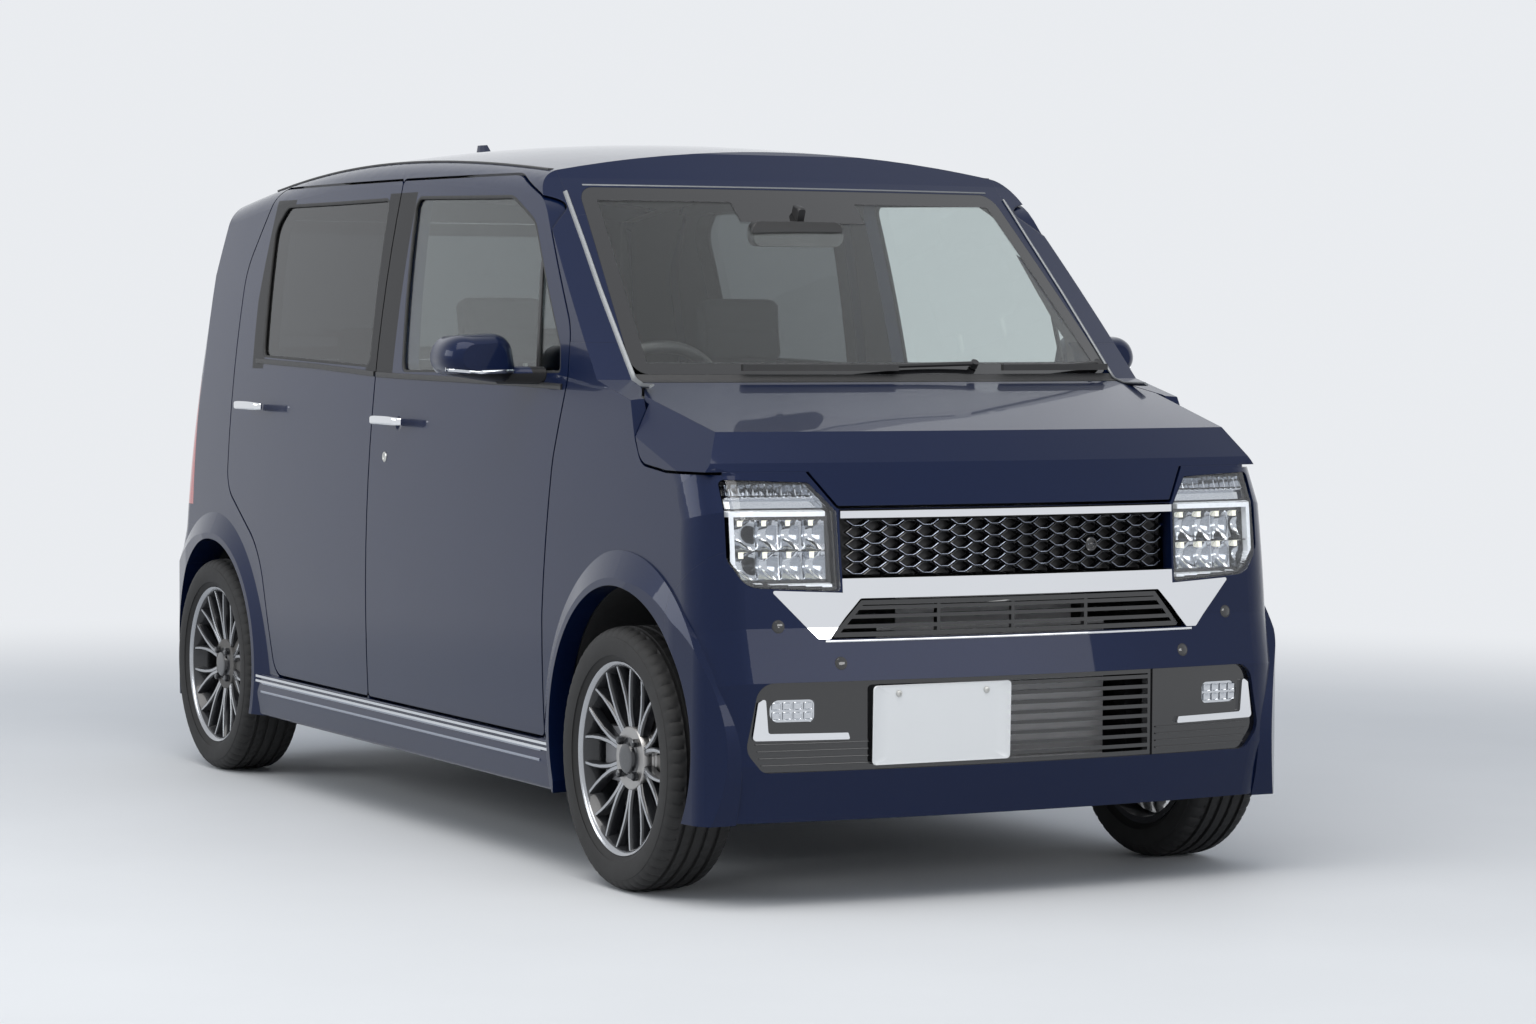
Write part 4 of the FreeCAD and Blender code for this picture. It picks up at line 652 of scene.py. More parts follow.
def rounded_outline(corners: tuple[tuple[float, float, float], ...], steps: int = 6) -> np.ndarray:
    """Rounds the corners (u, v, radius) of a closed outline; each corner becomes an arc of steps points.

    Args:
        corners: the corners in order.
        steps: points of each arc.

    Returns:
        The points, as an array of n by 2.
    """
    table = np.array(corners, float)
    at, radius = table[:, :2], np.maximum(table[:, 2], 0.05)
    back = np.roll(at, 1, axis=0) - at
    ahead = np.roll(at, -1, axis=0) - at
    back /= np.linalg.norm(back, axis=1)[:, None]
    ahead /= np.linalg.norm(ahead, axis=1)[:, None]
    half = np.arccos(np.clip((back * ahead).sum(1), -1, 1)) / 2
    middle = back + ahead
    middle /= np.maximum(np.linalg.norm(middle, axis=1), 1e-9)[:, None]
    centre = at + middle * (radius / np.sin(half))[:, None]
    first = at + back * (radius / np.tan(half))[:, None] - centre
    last = at + ahead * (radius / np.tan(half))[:, None] - centre
    turn = np.arctan2(first[:, 0] * last[:, 1] - first[:, 1] * last[:, 0], (first * last).sum(1))
    share = np.linspace(0, 1, steps)[None, :] * turn[:, None]
    start = np.arctan2(first[:, 1], first[:, 0])[:, None] + share
    ring = centre[:, None, :] + radius[:, None, None] * np.stack([np.cos(start), np.sin(start)], axis=-1)
    return ring.reshape(-1, 2)


def evened(points: np.ndarray, count: int, closed: bool = False) -> np.ndarray:
    """Spreads points evenly by length along a line of straight runs.

    Args:
        points: the line's corners.
        count: how many points it gets.
        closed: whether the last corner joins the first.

    Returns:
        The points.
    """
    line = np.vstack([points, points[:1]]) if closed else points
    step = np.concatenate([[0], np.cumsum(np.linalg.norm(np.diff(line, axis=0), axis=1))])
    at = np.linspace(0, step[-1], count, endpoint=not closed)
    return np.stack([np.interp(at, step, line[:, axis]) for axis in range(line.shape[1])], axis=-1)


def eased(points: np.ndarray, count: int, rounds: int = 3) -> np.ndarray:
    """Spreads points along a line and rounds its corners by averaging each point with its neighbours.

    Args:
        points: the line's corners.
        count: how many points it gets.
        rounds: how often the corners are averaged.

    Returns:
        The points.
    """
    line = evened(np.asarray(points, float), count)
    for _ in range(rounds):
        line[1:-1] = (line[:-2] + 2 * line[1:-1] + line[2:]) / 4
    return line


def frames(path: np.ndarray, up: np.ndarray, closed: bool) -> tuple[np.ndarray, np.ndarray]:
    """Gives the side and up directions at each point of a path; up is the wanted direction, for all or each.

    Args:
        path: the path, n by 3.
        up: the wanted direction, for all points or for each.
        closed: whether the path is a ring.

    Returns:
        The side and the up directions.
    """
    ahead = np.roll(path, -1, axis=0) - np.roll(path, 1, axis=0) if closed else np.gradient(path, axis=0)
    ahead = ahead / np.maximum(np.linalg.norm(ahead, axis=1), 1e-9)[:, None]
    wanted = np.broadcast_to(np.asarray(up, float), path.shape)
    side = np.cross(ahead, wanted)
    side /= np.maximum(np.linalg.norm(side, axis=1), 1e-9)[:, None]
    return side, np.cross(side, ahead)


def carried(path: np.ndarray, profile: np.ndarray, up: np.ndarray, closed: bool = False,
            scale: np.ndarray | None = None) -> np.ndarray:
    """Carries a closed profile along a path: point = path + side * u + up * v, with closed ends.

    Args:
        path: the path, n by 3.
        profile: the profile, m by 2.
        up: the direction of the profile's v.
        closed: whether the path is a ring.
        scale: the profile's scale at each point of the path.

    Returns:
        A grid of points; the end rows of an open path shrink to their middles.
    """
    side, top = frames(path, up, closed)
    size = np.ones(len(path)) if scale is None else scale
    rings = (path[:, None] + side[:, None] * (profile[None, :, :1] * size[:, None, None])
             + top[:, None] * (profile[None, :, 1:] * size[:, None, None]))
    if closed:
        return rings
    middle = rings.mean(axis=1, keepdims=True)
    first = np.broadcast_to(middle[:1], rings[:1].shape)
    last = np.broadcast_to(middle[-1:], rings[-1:].shape)
    return np.concatenate([first, rings, last])


def ring(radius: float, sides: int = 12, flat: float = 1.0) -> np.ndarray:
    """Gives a round or flattened profile."""
    turn = np.linspace(0, 2 * np.pi, sides, endpoint=False)
    return np.stack([np.cos(turn) * radius, np.sin(turn) * radius * flat], axis=-1)


def bar(width: float, height: float, radius: float, steps: int = 3) -> np.ndarray:
    """Gives a rectangular profile with rounded corners."""
    u, v = width / 2, height / 2
    return rounded_outline(((-u, -v, radius), (u, -v, radius), (u, v, radius), (-u, v, radius)), steps)


def slab(outline: np.ndarray, layers: tuple[tuple[float, float], ...], put: object) -> np.ndarray:
    """Stacks an outline in layers (shrink, depth): each layer moves the points towards the middle by shrink.

    Args:
        outline: the closed outline, n by 2.
        layers: for each ring, how far it lies inside the outline and its depth.
        put: a function of u, v and depth arrays that gives points in space.

    Returns:
        A grid of rings; the first and last shrink to the middle.
    """
    centre = (outline.max(0) + outline.min(0)) / 2
    away = outline - centre
    length = np.maximum(np.linalg.norm(away, axis=1), 1e-9)[:, None]
    rings = [(centre + away * np.maximum(0.0, 1 - shrink / length), depth) for shrink, depth in layers]
    rings = [(centre + away * 1e-4, layers[0][1])] + rings + [(centre + away * 1e-4, layers[-1][1])]
    return np.stack([put(points[:, 0], points[:, 1], np.full(len(points), depth)) for points, depth in rings])


def turned(rows: np.ndarray, centre: tuple[float, float, float], steps: int = 96) -> np.ndarray:
    """Turns (x, radius) rows about the x axis through a centre: (cx + x, cy - r sin a, cz + r cos a).

    Args:
        rows: the (x, radius) rows.
        centre: a point of the axis.
        steps: points round the turn.

    Returns:
        A grid of points.
    """
    turn = np.linspace(0, 2 * np.pi, steps, endpoint=False)
    x, radius = rows[:, 0][:, None], rows[:, 1][:, None]
    return np.stack([centre[0] + x + 0 * turn, centre[1] - radius * np.sin(turn), centre[2] + radius * np.cos(turn)],
                    axis=-1)


targets: dict[tuple[str, ...], bpy.types.Object] = {}


def landed(points: np.ndarray, nodes: tuple[str, ...], way: str) -> np.ndarray:
    """Drops points along an axis onto CAD nodes.

    Args:
        points: any array whose last axis is x, y, z in millimetres.
        nodes: the CAD nodes that they may land on.
        way: '+X', '-X', '+Y', '-Y', '+Z' or '-Z', the way they move.

    Returns:
        The same array, each point where it first meets a node.
    """
    if nodes not in targets:
        mesh = bpy.data.meshes.new("landing")
        corners, faces, count = [], [], 0
        for node in nodes:
            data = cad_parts[node].data
            data.calc_loop_triangles()
            spots = np.empty(len(data.vertices) * 3, np.float32)
            data.vertices.foreach_get("co", spots)
            triangles = np.empty(len(data.loop_triangles) * 3, np.int32)
            data.loop_triangles.foreach_get("vertices", triangles)
            corners.append(spots.reshape(-1, 3))
            faces.append(triangles.reshape(-1, 3) + count)
            count += len(data.vertices)
        mesh.from_pydata(np.concatenate(corners).tolist(), [], np.concatenate(faces).tolist())
        targets[nodes] = bpy.data.objects.new("landing", mesh)
        bpy.context.scene.collection.objects.link(targets[nodes])
    flat = points.reshape(-1, 3) * MM
    mesh = bpy.data.meshes.new("drop")
    mesh.from_pydata(flat.tolist(), [], [])
    probe = bpy.data.objects.new("drop", mesh)
    bpy.context.scene.collection.objects.link(probe)
    wrap = probe.modifiers.new("drop", "SHRINKWRAP")
    wrap.target = targets[nodes]
    wrap.wrap_method = "PROJECT"
    wrap.use_project_x, wrap.use_project_y, wrap.use_project_z = way[1] == "X", way[1] == "Y", way[1] == "Z"
    wrap.use_positive_direction, wrap.use_negative_direction = way[0] == "+", way[0] == "-"
    bpy.context.view_layer.update()
    result = np.empty(len(flat) * 3, np.float32)
    probe.evaluated_get(bpy.context.evaluated_depsgraph_get()).data.vertices.foreach_get("co", result)
    bpy.data.objects.remove(probe)
    bpy.data.meshes.remove(mesh)
    result = result.reshape(-1, 3).astype(float) / MM
    axis = "XYZ".index(way[1])
    moved = np.abs(result[:, axis] - points.reshape(-1, 3)[:, axis]) > 0.01
    if not moved.all():
        LOG.info("landed: %d of %d points missed %s", (~moved).sum(), len(moved), nodes)
        order = np.arange(len(moved))
        result[~moved, axis] = np.interp(order[~moved], order[moved], result[moved, axis])
    return result.reshape(points.shape)


def beside(flat: np.ndarray, nodes: tuple[str, ...], side: float) -> np.ndarray:
    """Drops points (y, z) from beside the car onto CAD nodes.

    Args:
        flat: the points, as an array of n by 2.
        nodes: the CAD nodes that they may land on.
        side: -1 for the right side, 1 for the left.

    Returns:
        Where they land.
    """
    start = np.column_stack([np.full(len(flat), side * BESIDE), flat])
    return landed(start, nodes, "-X" if side > 0 else "+X")


def end_on(flat: np.ndarray, nodes: tuple[str, ...], place: float) -> np.ndarray:
    """Drops points (x, z) from ahead of the car or from behind it onto CAD nodes.

    Args:
        flat: the points, as an array of n by 2.
        nodes: the CAD nodes that they may land on.
        place: where they start along the car, below 0 when ahead.

    Returns:
        Where they land.
    """
    start = np.column_stack([flat[:, 0], np.full(len(flat), place), flat[:, 1]])
    return landed(start, nodes, "+Y" if place < 0 else "-Y")


def strip(name: str, spots: np.ndarray, profile: np.ndarray, up: tuple, finish: str, slot: str,
          body: str = "root") -> bpy.types.Object:
    """Builds a piece with one finish by carrying a section along points.

    Args:
        name: the piece's name.
        spots: the path's points.
        profile: the section.
        up: the direction that the section's height has.
        finish: its finish.
        slot: the record's material slot.
        body: the body that it rides on.

    Returns:
        The object.
    """
    return Surface(name).grid(carried(spots, profile, up), False, True).build((finish,), body, slot)


def clear_targets() -> None:
    """Removes the helper objects that points landed on."""
    for helper in targets.values():
        mesh = helper.data
        bpy.data.objects.remove(helper)
        bpy.data.meshes.remove(mesh)
    targets.clear()


def dress(node: str, finish: str | bpy.types.Material) -> None:
    """Gives a CAD node a finish.

    Args:
        node: the node's name.
        finish: a finish's name, or a material.
    """
    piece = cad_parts[node]
    chosen = material(finish) if isinstance(finish, str) else finish
    if not piece.material_slots:
        piece.data.materials.append(chosen)
    for place in piece.material_slots:
        place.material = chosen
    LOG.info("%s: dressed", node)


# ---------------------------------------------------------------- body


@dataclass
class Bodywork:
    """Painted panels and the panes of the car."""

    def build(self) -> None:
        """Dresses every painted panel and pane."""
        plain = Paint("paint_plain").make()
        for node in ("hood", "front_bumper", "rear_bumper", "fender_left", "fender_right"):
            dress(node, plain)
        dress("roof_panel", Paint("paint_roof", Paintwork.ROOF).make())
        dress("tailgate", Paint("paint_tailgate", Paintwork.TAILGATE).make())
        for name, side in SIDES:
            for node, paint, kind in (("door_front", "door_front", Paintwork.DOOR_FRONT),
                                      ("door_rear", "door_rear", Paintwork.DOOR_REAR),
                                      ("side_frame", "frame", Paintwork.FRAME),
                                      ("mirror", "mirror", Paintwork.MIRROR)):
                dress(f"{node}_{name}", Paint(f"paint_{paint}_{name}", kind, side).make())
            dress(f"glass_front_{name}", "door_glass")
            dress(f"glass_rear_{name}", "privacy_glass")
        dress("windshield", "windshield_glass")
        dress("tailgate_glass", "tailgate_glass_tint")


@dataclass
class SideTrim:
    """Window seals, belt mouldings and the front windows' dividers of both sides."""

    front_window: tuple = ((-868, 1092, 10), (-853, 1150, 30), (-625, 1430, 90), (-480, 1490, 120), (92, 1499, 26),
                           (30, 1080, 26))
    rear_window: tuple = ((235, 1088, 26), (255, 1499, 26), (985, 1497, 60), (1050, 1440, 60), (1000, 1104, 30))
    front_belt: tuple = ((-884, 1062), (-641, 1066), (20, 1070), (183, 1072))
    rear_belt: tuple = ((198, 1073), (600, 1086), (1040, 1094))

    def seal(self, name: str, outline: tuple, glass: str, door: str, side: float) -> None:
        """Makes a rubber channel round a window: a flat bar carried along the window's outline, on the pane.

        Args:
            name: the piece's name.
            outline: the window's (y, z, radius) corners.
            glass: the pane's node.
            door: the body that it rides on.
            side: -1 for the right side, 1 for the left.
        """
        flat = rounded_outline(outline, 9)
        flat = evened(flat, 220, True)
        centre = flat.mean(0)
        inner = flat + (centre - flat) / np.linalg.norm(centre - flat, axis=1)[:, None] * 5.0
        spots = beside(inner, (glass,), side)
        spots[:, 1:] = flat + (inner - flat) * 0.35
        spots[:, 0] += side * 3.4
        path = carried(spots, bar(9.0, 7.0, 2.5), (side, 0, 0), closed=True)
        Surface(name).grid(path, True, True).build(("seal_rubber",), door, "black_plastic")

    def strip(self, name: str, line: tuple, nodes: tuple, body: str, side: float, profile: np.ndarray, finish: str,
              lift: float, count: int = 40) -> None:
        """Makes a moulding that follows a line (y, z) on the side of the body.

        Args:
            name: the piece's name.
            line: its (y, z) corners.
            nodes: the nodes that it lies on.
            body: the body that it rides on.
            side: -1 for the right side, 1 for the left.
            profile: its section.
            finish: its finish.
            lift: how far it stands out.
            count: points along it.
        """
        flat = eased(np.array(line, float), count, 2)
        spots = beside(flat, nodes, side)
        spots[:, 0] += side * lift
        slot = "bright_chrome" if "chrome" in finish else "black_plastic"
        strip(name, spots, profile, (side, 0, 0), finish, slot, body)

    def divider(self, name: str, side: float) -> None:
        """Makes the upright bar ahead of the front window's small fixed pane.

        Args:
            name: the side's name.
            side: -1 for the right side, 1 for the left.
        """
        flat = evened(np.array(((-741, 1085), (-712, 1236), (-690, 1338)), float), 16)
        spots = beside(flat, (f"glass_front_{name}",), side)
        spots[:, 0] += side * 2.0
        strip(f"window_divider_{name}", spots, bar(14.0, 7.0, 2.0), (side, 0, 0), "satin_black", "black_plastic",
              f"door_front_{name}")

    def build(self) -> None:
        """Builds the trim of both sides."""
        for name, side in SIDES:
            self.seal(f"window_seal_front_{name}", self.front_window, f"glass_front_{name}", f"door_front_{name}", side)
            self.seal(f"window_seal_rear_{name}", self.rear_window, f"glass_rear_{name}", f"door_rear_{name}", side)
            self.strip(f"belt_strip_front_{name}", self.front_belt, (f"door_front_{name}",), f"door_front_{name}",
                       side, bar(13.0, 6.0, 2.0), "satin_black", 1.5)
            self.strip(f"belt_strip_rear_{name}", self.rear_belt, (f"door_rear_{name}",), f"door_rear_{name}",
                       side, bar(13.0, 6.0, 2.0), "satin_black", 1.5)
            self.divider(name, side)


# ---------------------------------------------------------------- nose


@dataclass
class Headlamps:
    """Headlamp insides: a relief of bowls, light guides and walls behind the clear cover."""

    outline: tuple = ((-650, 884, 12), (-462, 877, 8), (-412, 818, 8), (-408, 653, 8), (-612, 664, 50), (-650, 720, 30))
    step: float = 2.0
    rows: tuple = ((739, 800), (676, 735))
    bowl_start: float = -632.0
    bowl_width: float = 50.5

    def inside(self, x: np.ndarray, z: np.ndarray, margin: float) -> np.ndarray:
        """Tells which points lie inside the outline by more than a margin (the outline bulges outwards).

        Args:
            x: widths of the points.
            z: their heights.
            margin: the least distance.

        Returns:
            True for the points that do.
        """
        line = rounded_outline(self.outline, 8)
        after = np.roll(line, -1, axis=0)
        run = after - line
        run /= np.maximum(np.linalg.norm(run, axis=1), 1e-9)[:, None]
        depth = run[:, 0] * (z[..., None] - line[:, 1]) - run[:, 1] * (x[..., None] - line[:, 0])
        depth = depth if depth.mean() > 0 else -depth
        return depth.min(axis=-1) > margin

    def relief(self, x: np.ndarray, z: np.ndarray) -> tuple[np.ndarray, np.ndarray]:
        """Works out the depth behind the cover and the kind of surface at each point.

        The bowls are parabolas cut off by their cells' walls; the guide is a raised bar round the outer side.

        Args:
            x: widths of the points.
            z: heights of the points.

        Returns:
            The depths in millimetres and the kinds: 0 black, 1 reflector, 2 light guide, 3 led.
        """
        depth = np.full(x.shape, 26.0)
        kind = np.zeros(x.shape, np.int32)
        outer = -636.0 + np.maximum(0, 712 - z) * 0.35
        for low, high in self.rows:
            u = ((x - self.bowl_start) / self.bowl_width) % 1.0 * 2 - 1
            v = (z - (low + high) / 2) / ((high - low) / 2)
            cell = (z > low) & (z < high) & (x > outer + 12) & (x < -428)
            bowl = 22 + 30 * (1 - np.abs(u) ** 2.4) * (1 - 0.75 * np.abs(v) ** 2)
            depth = np.where(cell, bowl, depth)
            kind = np.where(cell, 1, kind)
            chip = cell & (np.abs(u) < 0.24) & (v > 0.55)
            depth = np.where(chip, 30.0, depth)
            kind = np.where(chip, 3, kind)
        ledge = (np.abs(z - 737) < 2.6) & (x > outer + 10) & (x < -424)
        depth, kind = np.where(ledge, 13.0, depth), np.where(ledge, 0, kind)
        guide = (np.abs(z - 813) < 6.0) & (x < -430)
        guide |= (x < outer + 9) & (x > outer - 4) & (z < 813) & (z > 664)
        guide |= (np.abs(z - (663 + (x + 612) * -0.012)) < 7.5) & (x < -421) & (x > outer - 2)
        depth, kind = np.where(guide, 11.0, depth), np.where(guide, 2, kind)
        top = (z > 823) & (z < 872) & (x > -638) & (x < -428)
        ribs = 30 + 7 * np.sin(x * 0.42) * (z > 846) + 9 * (np.abs(z - 846) < 2.2) * -1
        depth, kind = np.where(top, ribs, depth), np.where(top, 1, kind)
        return depth, kind

    def build(self) -> None:
        """Builds the inside of both lamps."""
        x, z = np.meshgrid(np.arange(-652, -404, self.step), np.arange(650, 888, self.step), indexing="ij")
        skin = landed(np.stack([x, np.full(x.shape, AHEAD), z], axis=-1),
                      ("headlamp_lenses", "fender_right", "front_bumper", "hood"), "+Y")
        depth, kind = self.relief(x, z)
        edge = ~self.inside(x, z, 7.0)
        depth, kind = np.where(edge, 14.0, depth), np.where(edge, 0, kind)
        out = ~self.inside(x, z, 1.2)
        place = np.stack([x, skin[..., 1] + depth, z], axis=-1)
        keep = ~(out[:-1, :-1] | out[1:, :-1] | out[:-1, 1:] | out[1:, 1:])
        faces = quads(*x.shape)[keep.ravel()]
        face_kind = kind[:-1, :-1].ravel()[keep.ravel()]
        for name, side in SIDES:
            points = place.reshape(-1, 3) * np.array([-side, 1, 1])
            surface = Surface(f"headlamp_inside_{name}")
            surface.points, surface.faces, surface.kinds = [points], [faces], [face_kind]
            surface.marks, surface.count = [np.zeros(len(points), np.float32)], len(points)
            piece = surface.build(("gloss_black", "bright_reflector", "frosted_guide", "led_chip"), "root",
                                  "lamp_inner", 30.0)
            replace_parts(piece, "headlamps")
        dress("headlamp_lenses", "lamp_cover")


@dataclass
class Grille:
    """Hexagon grille with bright lower lips, its bright bar and its backing."""

    across: float = 50.0
    high: float = 25.0
    pitch: float = 80.0
    cover_depth: float = 16.0

    def front(self, x: np.ndarray) -> np.ndarray:
        """Gives the nose's place along the car at a width: a parabola that falls back towards the sides."""
        return -1697.5 + 36 + 52 * (x / 628.0) ** 2

    def build(self) -> None:
        """Builds the cells, the lips and the backing panel."""
        rows = np.arange(11)
        middle_z = 686.0 + rows * self.high / 2
        shift = np.where(rows % 2, self.pitch / 2, 0.0)
        columns = np.arange(-6, 7) * self.pitch
        x0 = (columns[None, :] + shift[:, None]).ravel()
        z0 = np.broadcast_to(middle_z[:, None], (len(rows), len(columns))).ravel()
        keep = (np.abs(x0) < 392) & (z0 > 684) & (z0 < 800)
        x0, z0 = x0[keep], z0[keep]
        tip, half = self.across / 6 + 2.2, self.across / 2 + 3.4
        high = self.high / 2 - 0.4
        corners = np.array([(-half, 0), (-tip, high), (tip, high), (half, 0), (tip, -high), (-tip, -high)], float)
        layers = ((1.0, 6.0), (0.93, -1.5), (0.86, -2.2), (0.79, 1.0), (0.76, 16.0))
        rings = np.stack([np.concatenate([corners * share, np.full((6, 1), deep)], axis=1) for share, deep in layers])
        cells = rings[None] + 0.0 * x0[:, None, None, None]
        px = np.clip(cells[..., 0] + x0[:, None, None], -401.5, 401.5)
        pz = np.clip(cells[..., 1] + z0[:, None, None], 682.0, 801.0)
        py = self.front(px) + self.cover_depth + cells[..., 2]
        grid = np.stack([px, py, pz], axis=-1)
        mesh = Surface("grille_cells")
        lips = Surface("grille_lips")
        count = len(x0)
        faces = quads(len(layers), 6, False, True)
        offset = (np.arange(count) * len(layers) * 6)[:, None, None]
        mesh.points, mesh.faces = [grid.reshape(-1, 3)], [(faces[None] + offset).reshape(-1, 4)]
        mesh.kinds = [np.zeros(count * len(faces), np.int32)]
        mesh.marks, mesh.count = [np.zeros(count * len(layers) * 6, np.float32)], count * len(layers) * 6
        cover = mesh.build(("gloss_black",), "root", "gloss_black", 25.0)
        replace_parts(cover, "grille_mesh")
        lower = np.array([(half, 0), (tip, -high), (-tip, -high), (-half, 0)], float) * 0.875
        line = evened(lower, 12)
        profile = ring(1.0, 6)
        flat = np.column_stack([line[:, 0], np.full(12, -3.0), line[:, 1]])
        tube = carried(flat, profile, (0, -1, 0))
        spots = tube[None] + np.stack([x0, 0 * x0, z0], axis=-1)[:, None, None, :]
        inside = (np.abs(x0) < 372) & (z0 > 690)
        spots = spots[inside]
        spots[..., 1] += self.front(spots[..., 0]) + self.cover_depth
        shape = tube.shape[:2]
        faces = quads(*shape, False, True)
        number = np.arange(len(spots))[:, None, None] * shape[0] * shape[1]
        lips.points, lips.faces = [spots.reshape(-1, 3)], [(faces[None] + number).reshape(-1, 4)]
        lips.kinds = [np.zeros(len(spots) * len(faces), np.int32)]
        lips.marks, lips.count = [np.zeros(spots.size // 3, np.float32)], spots.size // 3
        lips.build(("dark_chrome",), "root", "bright_chrome", 60.0)
        x, z = np.meshgrid(np.linspace(-398, 398, 60), np.linspace(684, 820, 6), indexing="ij")
        back = np.stack([x, self.front(x) + 40.0, z], axis=-1)
        Surface("grille_backing").grid(back, flip=True).build(("satin_black",), "root", "black_plastic")


@dataclass
class FrontPlate:
    """Blank number plate with a raised rim and two screws."""

    width: float = 330.0
    height: float = 165.0

    def plate(self, name: str, centre: tuple[float, float, float], body: str, way: float) -> None:
        """Builds a plate: a rounded outline in layers, raised at its rim, with two screw heads.

        Args:
            name: the piece's name.
            centre: the middle of its face.
            body: the body that it rides on.
            way: -1 if it looks forwards, 1 if it looks backwards.
        """
        u, v = self.width / 2, self.height / 2
        outline = rounded_outline(((-u, -v, 9), (u, -v, 9), (u, v, 9), (-u, v, 9)), 8)

        def put(a: np.ndarray, b: np.ndarray, deep: np.ndarray) -> np.ndarray:
            """Places points of the plate, which leans back a little."""
            return np.stack([centre[0] + a, centre[1] + way * deep + 0.02 * b * way, centre[2] + b], axis=-1)

        layers = ((1.0, -1.5), (0.0, -1.2), (0.0, 0.6), (0.8, 1.4), (3.5, 1.4), (5.0, 0.2), (40.0, 0.2))
        Surface(name).grid(slab(outline, layers, put), False, True).build(("plate_white",), body, "lamp_inner", 50.0)
        screws = Surface(f"{name}_screws")
        for across in (-105.0, 105.0):
            head = ring(7.0, 20) + np.array([across, v - 18.0])
            grid = slab(head, ((0.0, 0.2), (0.0, 2.2), (1.6, 3.4), (4.4, 3.5), (4.5, 2.2)), put)
            screws.grid(grid, False, True)
        screws.build(("zinc_screw",), body, "bright_chrome", 40.0)


# ---------------------------------------------------------------- wheels


@dataclass
class Wheels:
    """Tyres with their tread and alloy rims with forked spokes."""

    spokes: int = 10
    tread_steps: int = 300
    groove_depth: float = 7.0
    blocks: int = 60
    sipe_share: float = 0.2
    tread_floor: float = 262.0

    def tyre_profile(self) -> np.ndarray:
        """Gives the tyre's half section as (x, radius) rows, from the inner bead over the tread to the outer bead.

        Returns:
            The rows.
        """
        wall = [(-56, 203.8), (-66, 206), (-71.5, 212), (-75.5, 218.5), (-77.2, 220.5), (-78.8, 219.6), (-80.6, 226),
                (-81.9, 236), (-82.4, 246), (-81.6, 256), (-81.2, 257.6), (-80.0, 258.2), (-78.6, 264), (-75, 270.5)]
        tread = [(-70, 274.6), (-64, 277.6), (-57, 279.4), (-50, 280.2)]
        grooves, floor = [], TYRE_RADIUS - self.groove_depth
        for middle in (-42.0, -14.0, 14.0, 42.0):
            grooves += [(middle - 5.0, TYRE_RADIUS - 0.4), (middle - 3.8, floor),
                        (middle + 3.8, floor), (middle + 5.0, TYRE_RADIUS - 0.4), (middle + 14.0, TYRE_RADIUS - 0.1)]
        grooves = grooves[:-1]
        other = [(-x, r) for x, r in reversed(wall + tread)]
        return np.array(wall + tread + grooves + other, float)

    def tyre(self, name: str, centre: tuple, side: float, body: str) -> bpy.types.Object:
        """Builds a tyre: the section turned, with sipes cut where a saw-tooth of the turn and the width is small.

        Args:
            name: the piece's name.
            centre: the wheel's middle.
            side: -1 for the right side, 1 for the left.
            body: the body that it rides on.

        Returns:
            The object.
        """
        rows = self.tyre_profile()
        rows = rows * np.array([side, 1.0])
        grid = turned(rows, (0, 0, 0), self.tread_steps)
        turn = np.linspace(0, 2 * np.pi, self.tread_steps, endpoint=False)[None, :]
        width = np.abs(rows[:, 0])[:, None]
        phase = (turn * self.blocks / (2 * np.pi) + rows[:, 0][:, None] * 0.004) % 1.0
        block = ((width > 49) & (width < 79) & (phase < self.sipe_share)) * 3.2
        block = block + ((width > 18) & (width < 32) & (((phase + 0.5) % 1.0) < self.sipe_share)) * 2.6
        radius = rows[:, 1][:, None]
        share = (radius - block * (radius > self.tread_floor)) / radius
        grid[..., 1:] *= share[..., None]
        surface = Surface(name).grid(grid + np.array(centre), False, True)
        inner = np.array([(rows[0, 0], rows[0, 1]), (rows[0, 0] * 0.7, 205.2), (-rows[0, 0] * 0.7, 205.2),
                          (rows[-1, 0], rows[-1, 1])])
        surface.grid(turned(inner, centre, self.tread_steps), False, True, flip=True)
        return surface.build(("tyre_rubber",), body, "tyre_rubber", 32.0)

    def spoke(self) -> tuple[np.ndarray, np.ndarray]:
        """Gives one forked spoke as two carried bars, and which of its points are machined.

        Each prong runs from the hub, bends at the fork and leans to the barrel; its section is a ridge with a
        flat machined top and falling flanks.

        Returns:
            Grids of points in (x, tangent, radius) and their machined marks.
        """
        grids, marks = [], []
        reach = np.array([54.0, 74.0, 92.0, 108.0, 135.0, 165.0, 190.0, 200.5])
        for lean in (-1.0, 1.0):
            spread = np.interp(reach, [54, 92, 200.5], [0.0, 0.0, 1.0]) ** 1.1 * 0.165 * lean
            offset = np.interp(reach, [54, 84, 112, 200.5], [4.2, 4.6, 4.0, 3.0]) * lean
            top = np.interp(reach, [54, 92, 150, 200.5], [40.0, 46.0, 53.0, 60.0])
            half = np.interp(reach, [54, 92, 200.5], [7.2, 6.6, 4.8])
            section = np.array([(-1.25, -22.0), (-1.05, -4.5), (-0.62, -0.6), (-0.5, 0.0), (0.5, 0.0), (0.62, -0.6),
                                (1.05, -4.5), (1.25, -22.0)])
            across = offset[:, None] + half[:, None] * section[None, :, 0]
            tangent = reach[:, None] * np.sin(spread)[:, None] + across * np.cos(spread)[:, None]
            radius = reach[:, None] * np.cos(spread)[:, None] - across * np.sin(spread)[:, None]
            high = top[:, None] + section[None, :, 1]
            grids.append(np.stack([high, tangent, radius], axis=-1))
            face = (section[:, 1] > -0.3)[None, :] & (reach > 70)[:, None]
            marks.append(face.astype(np.float32).ravel())
        return np.stack(grids), np.stack(marks)

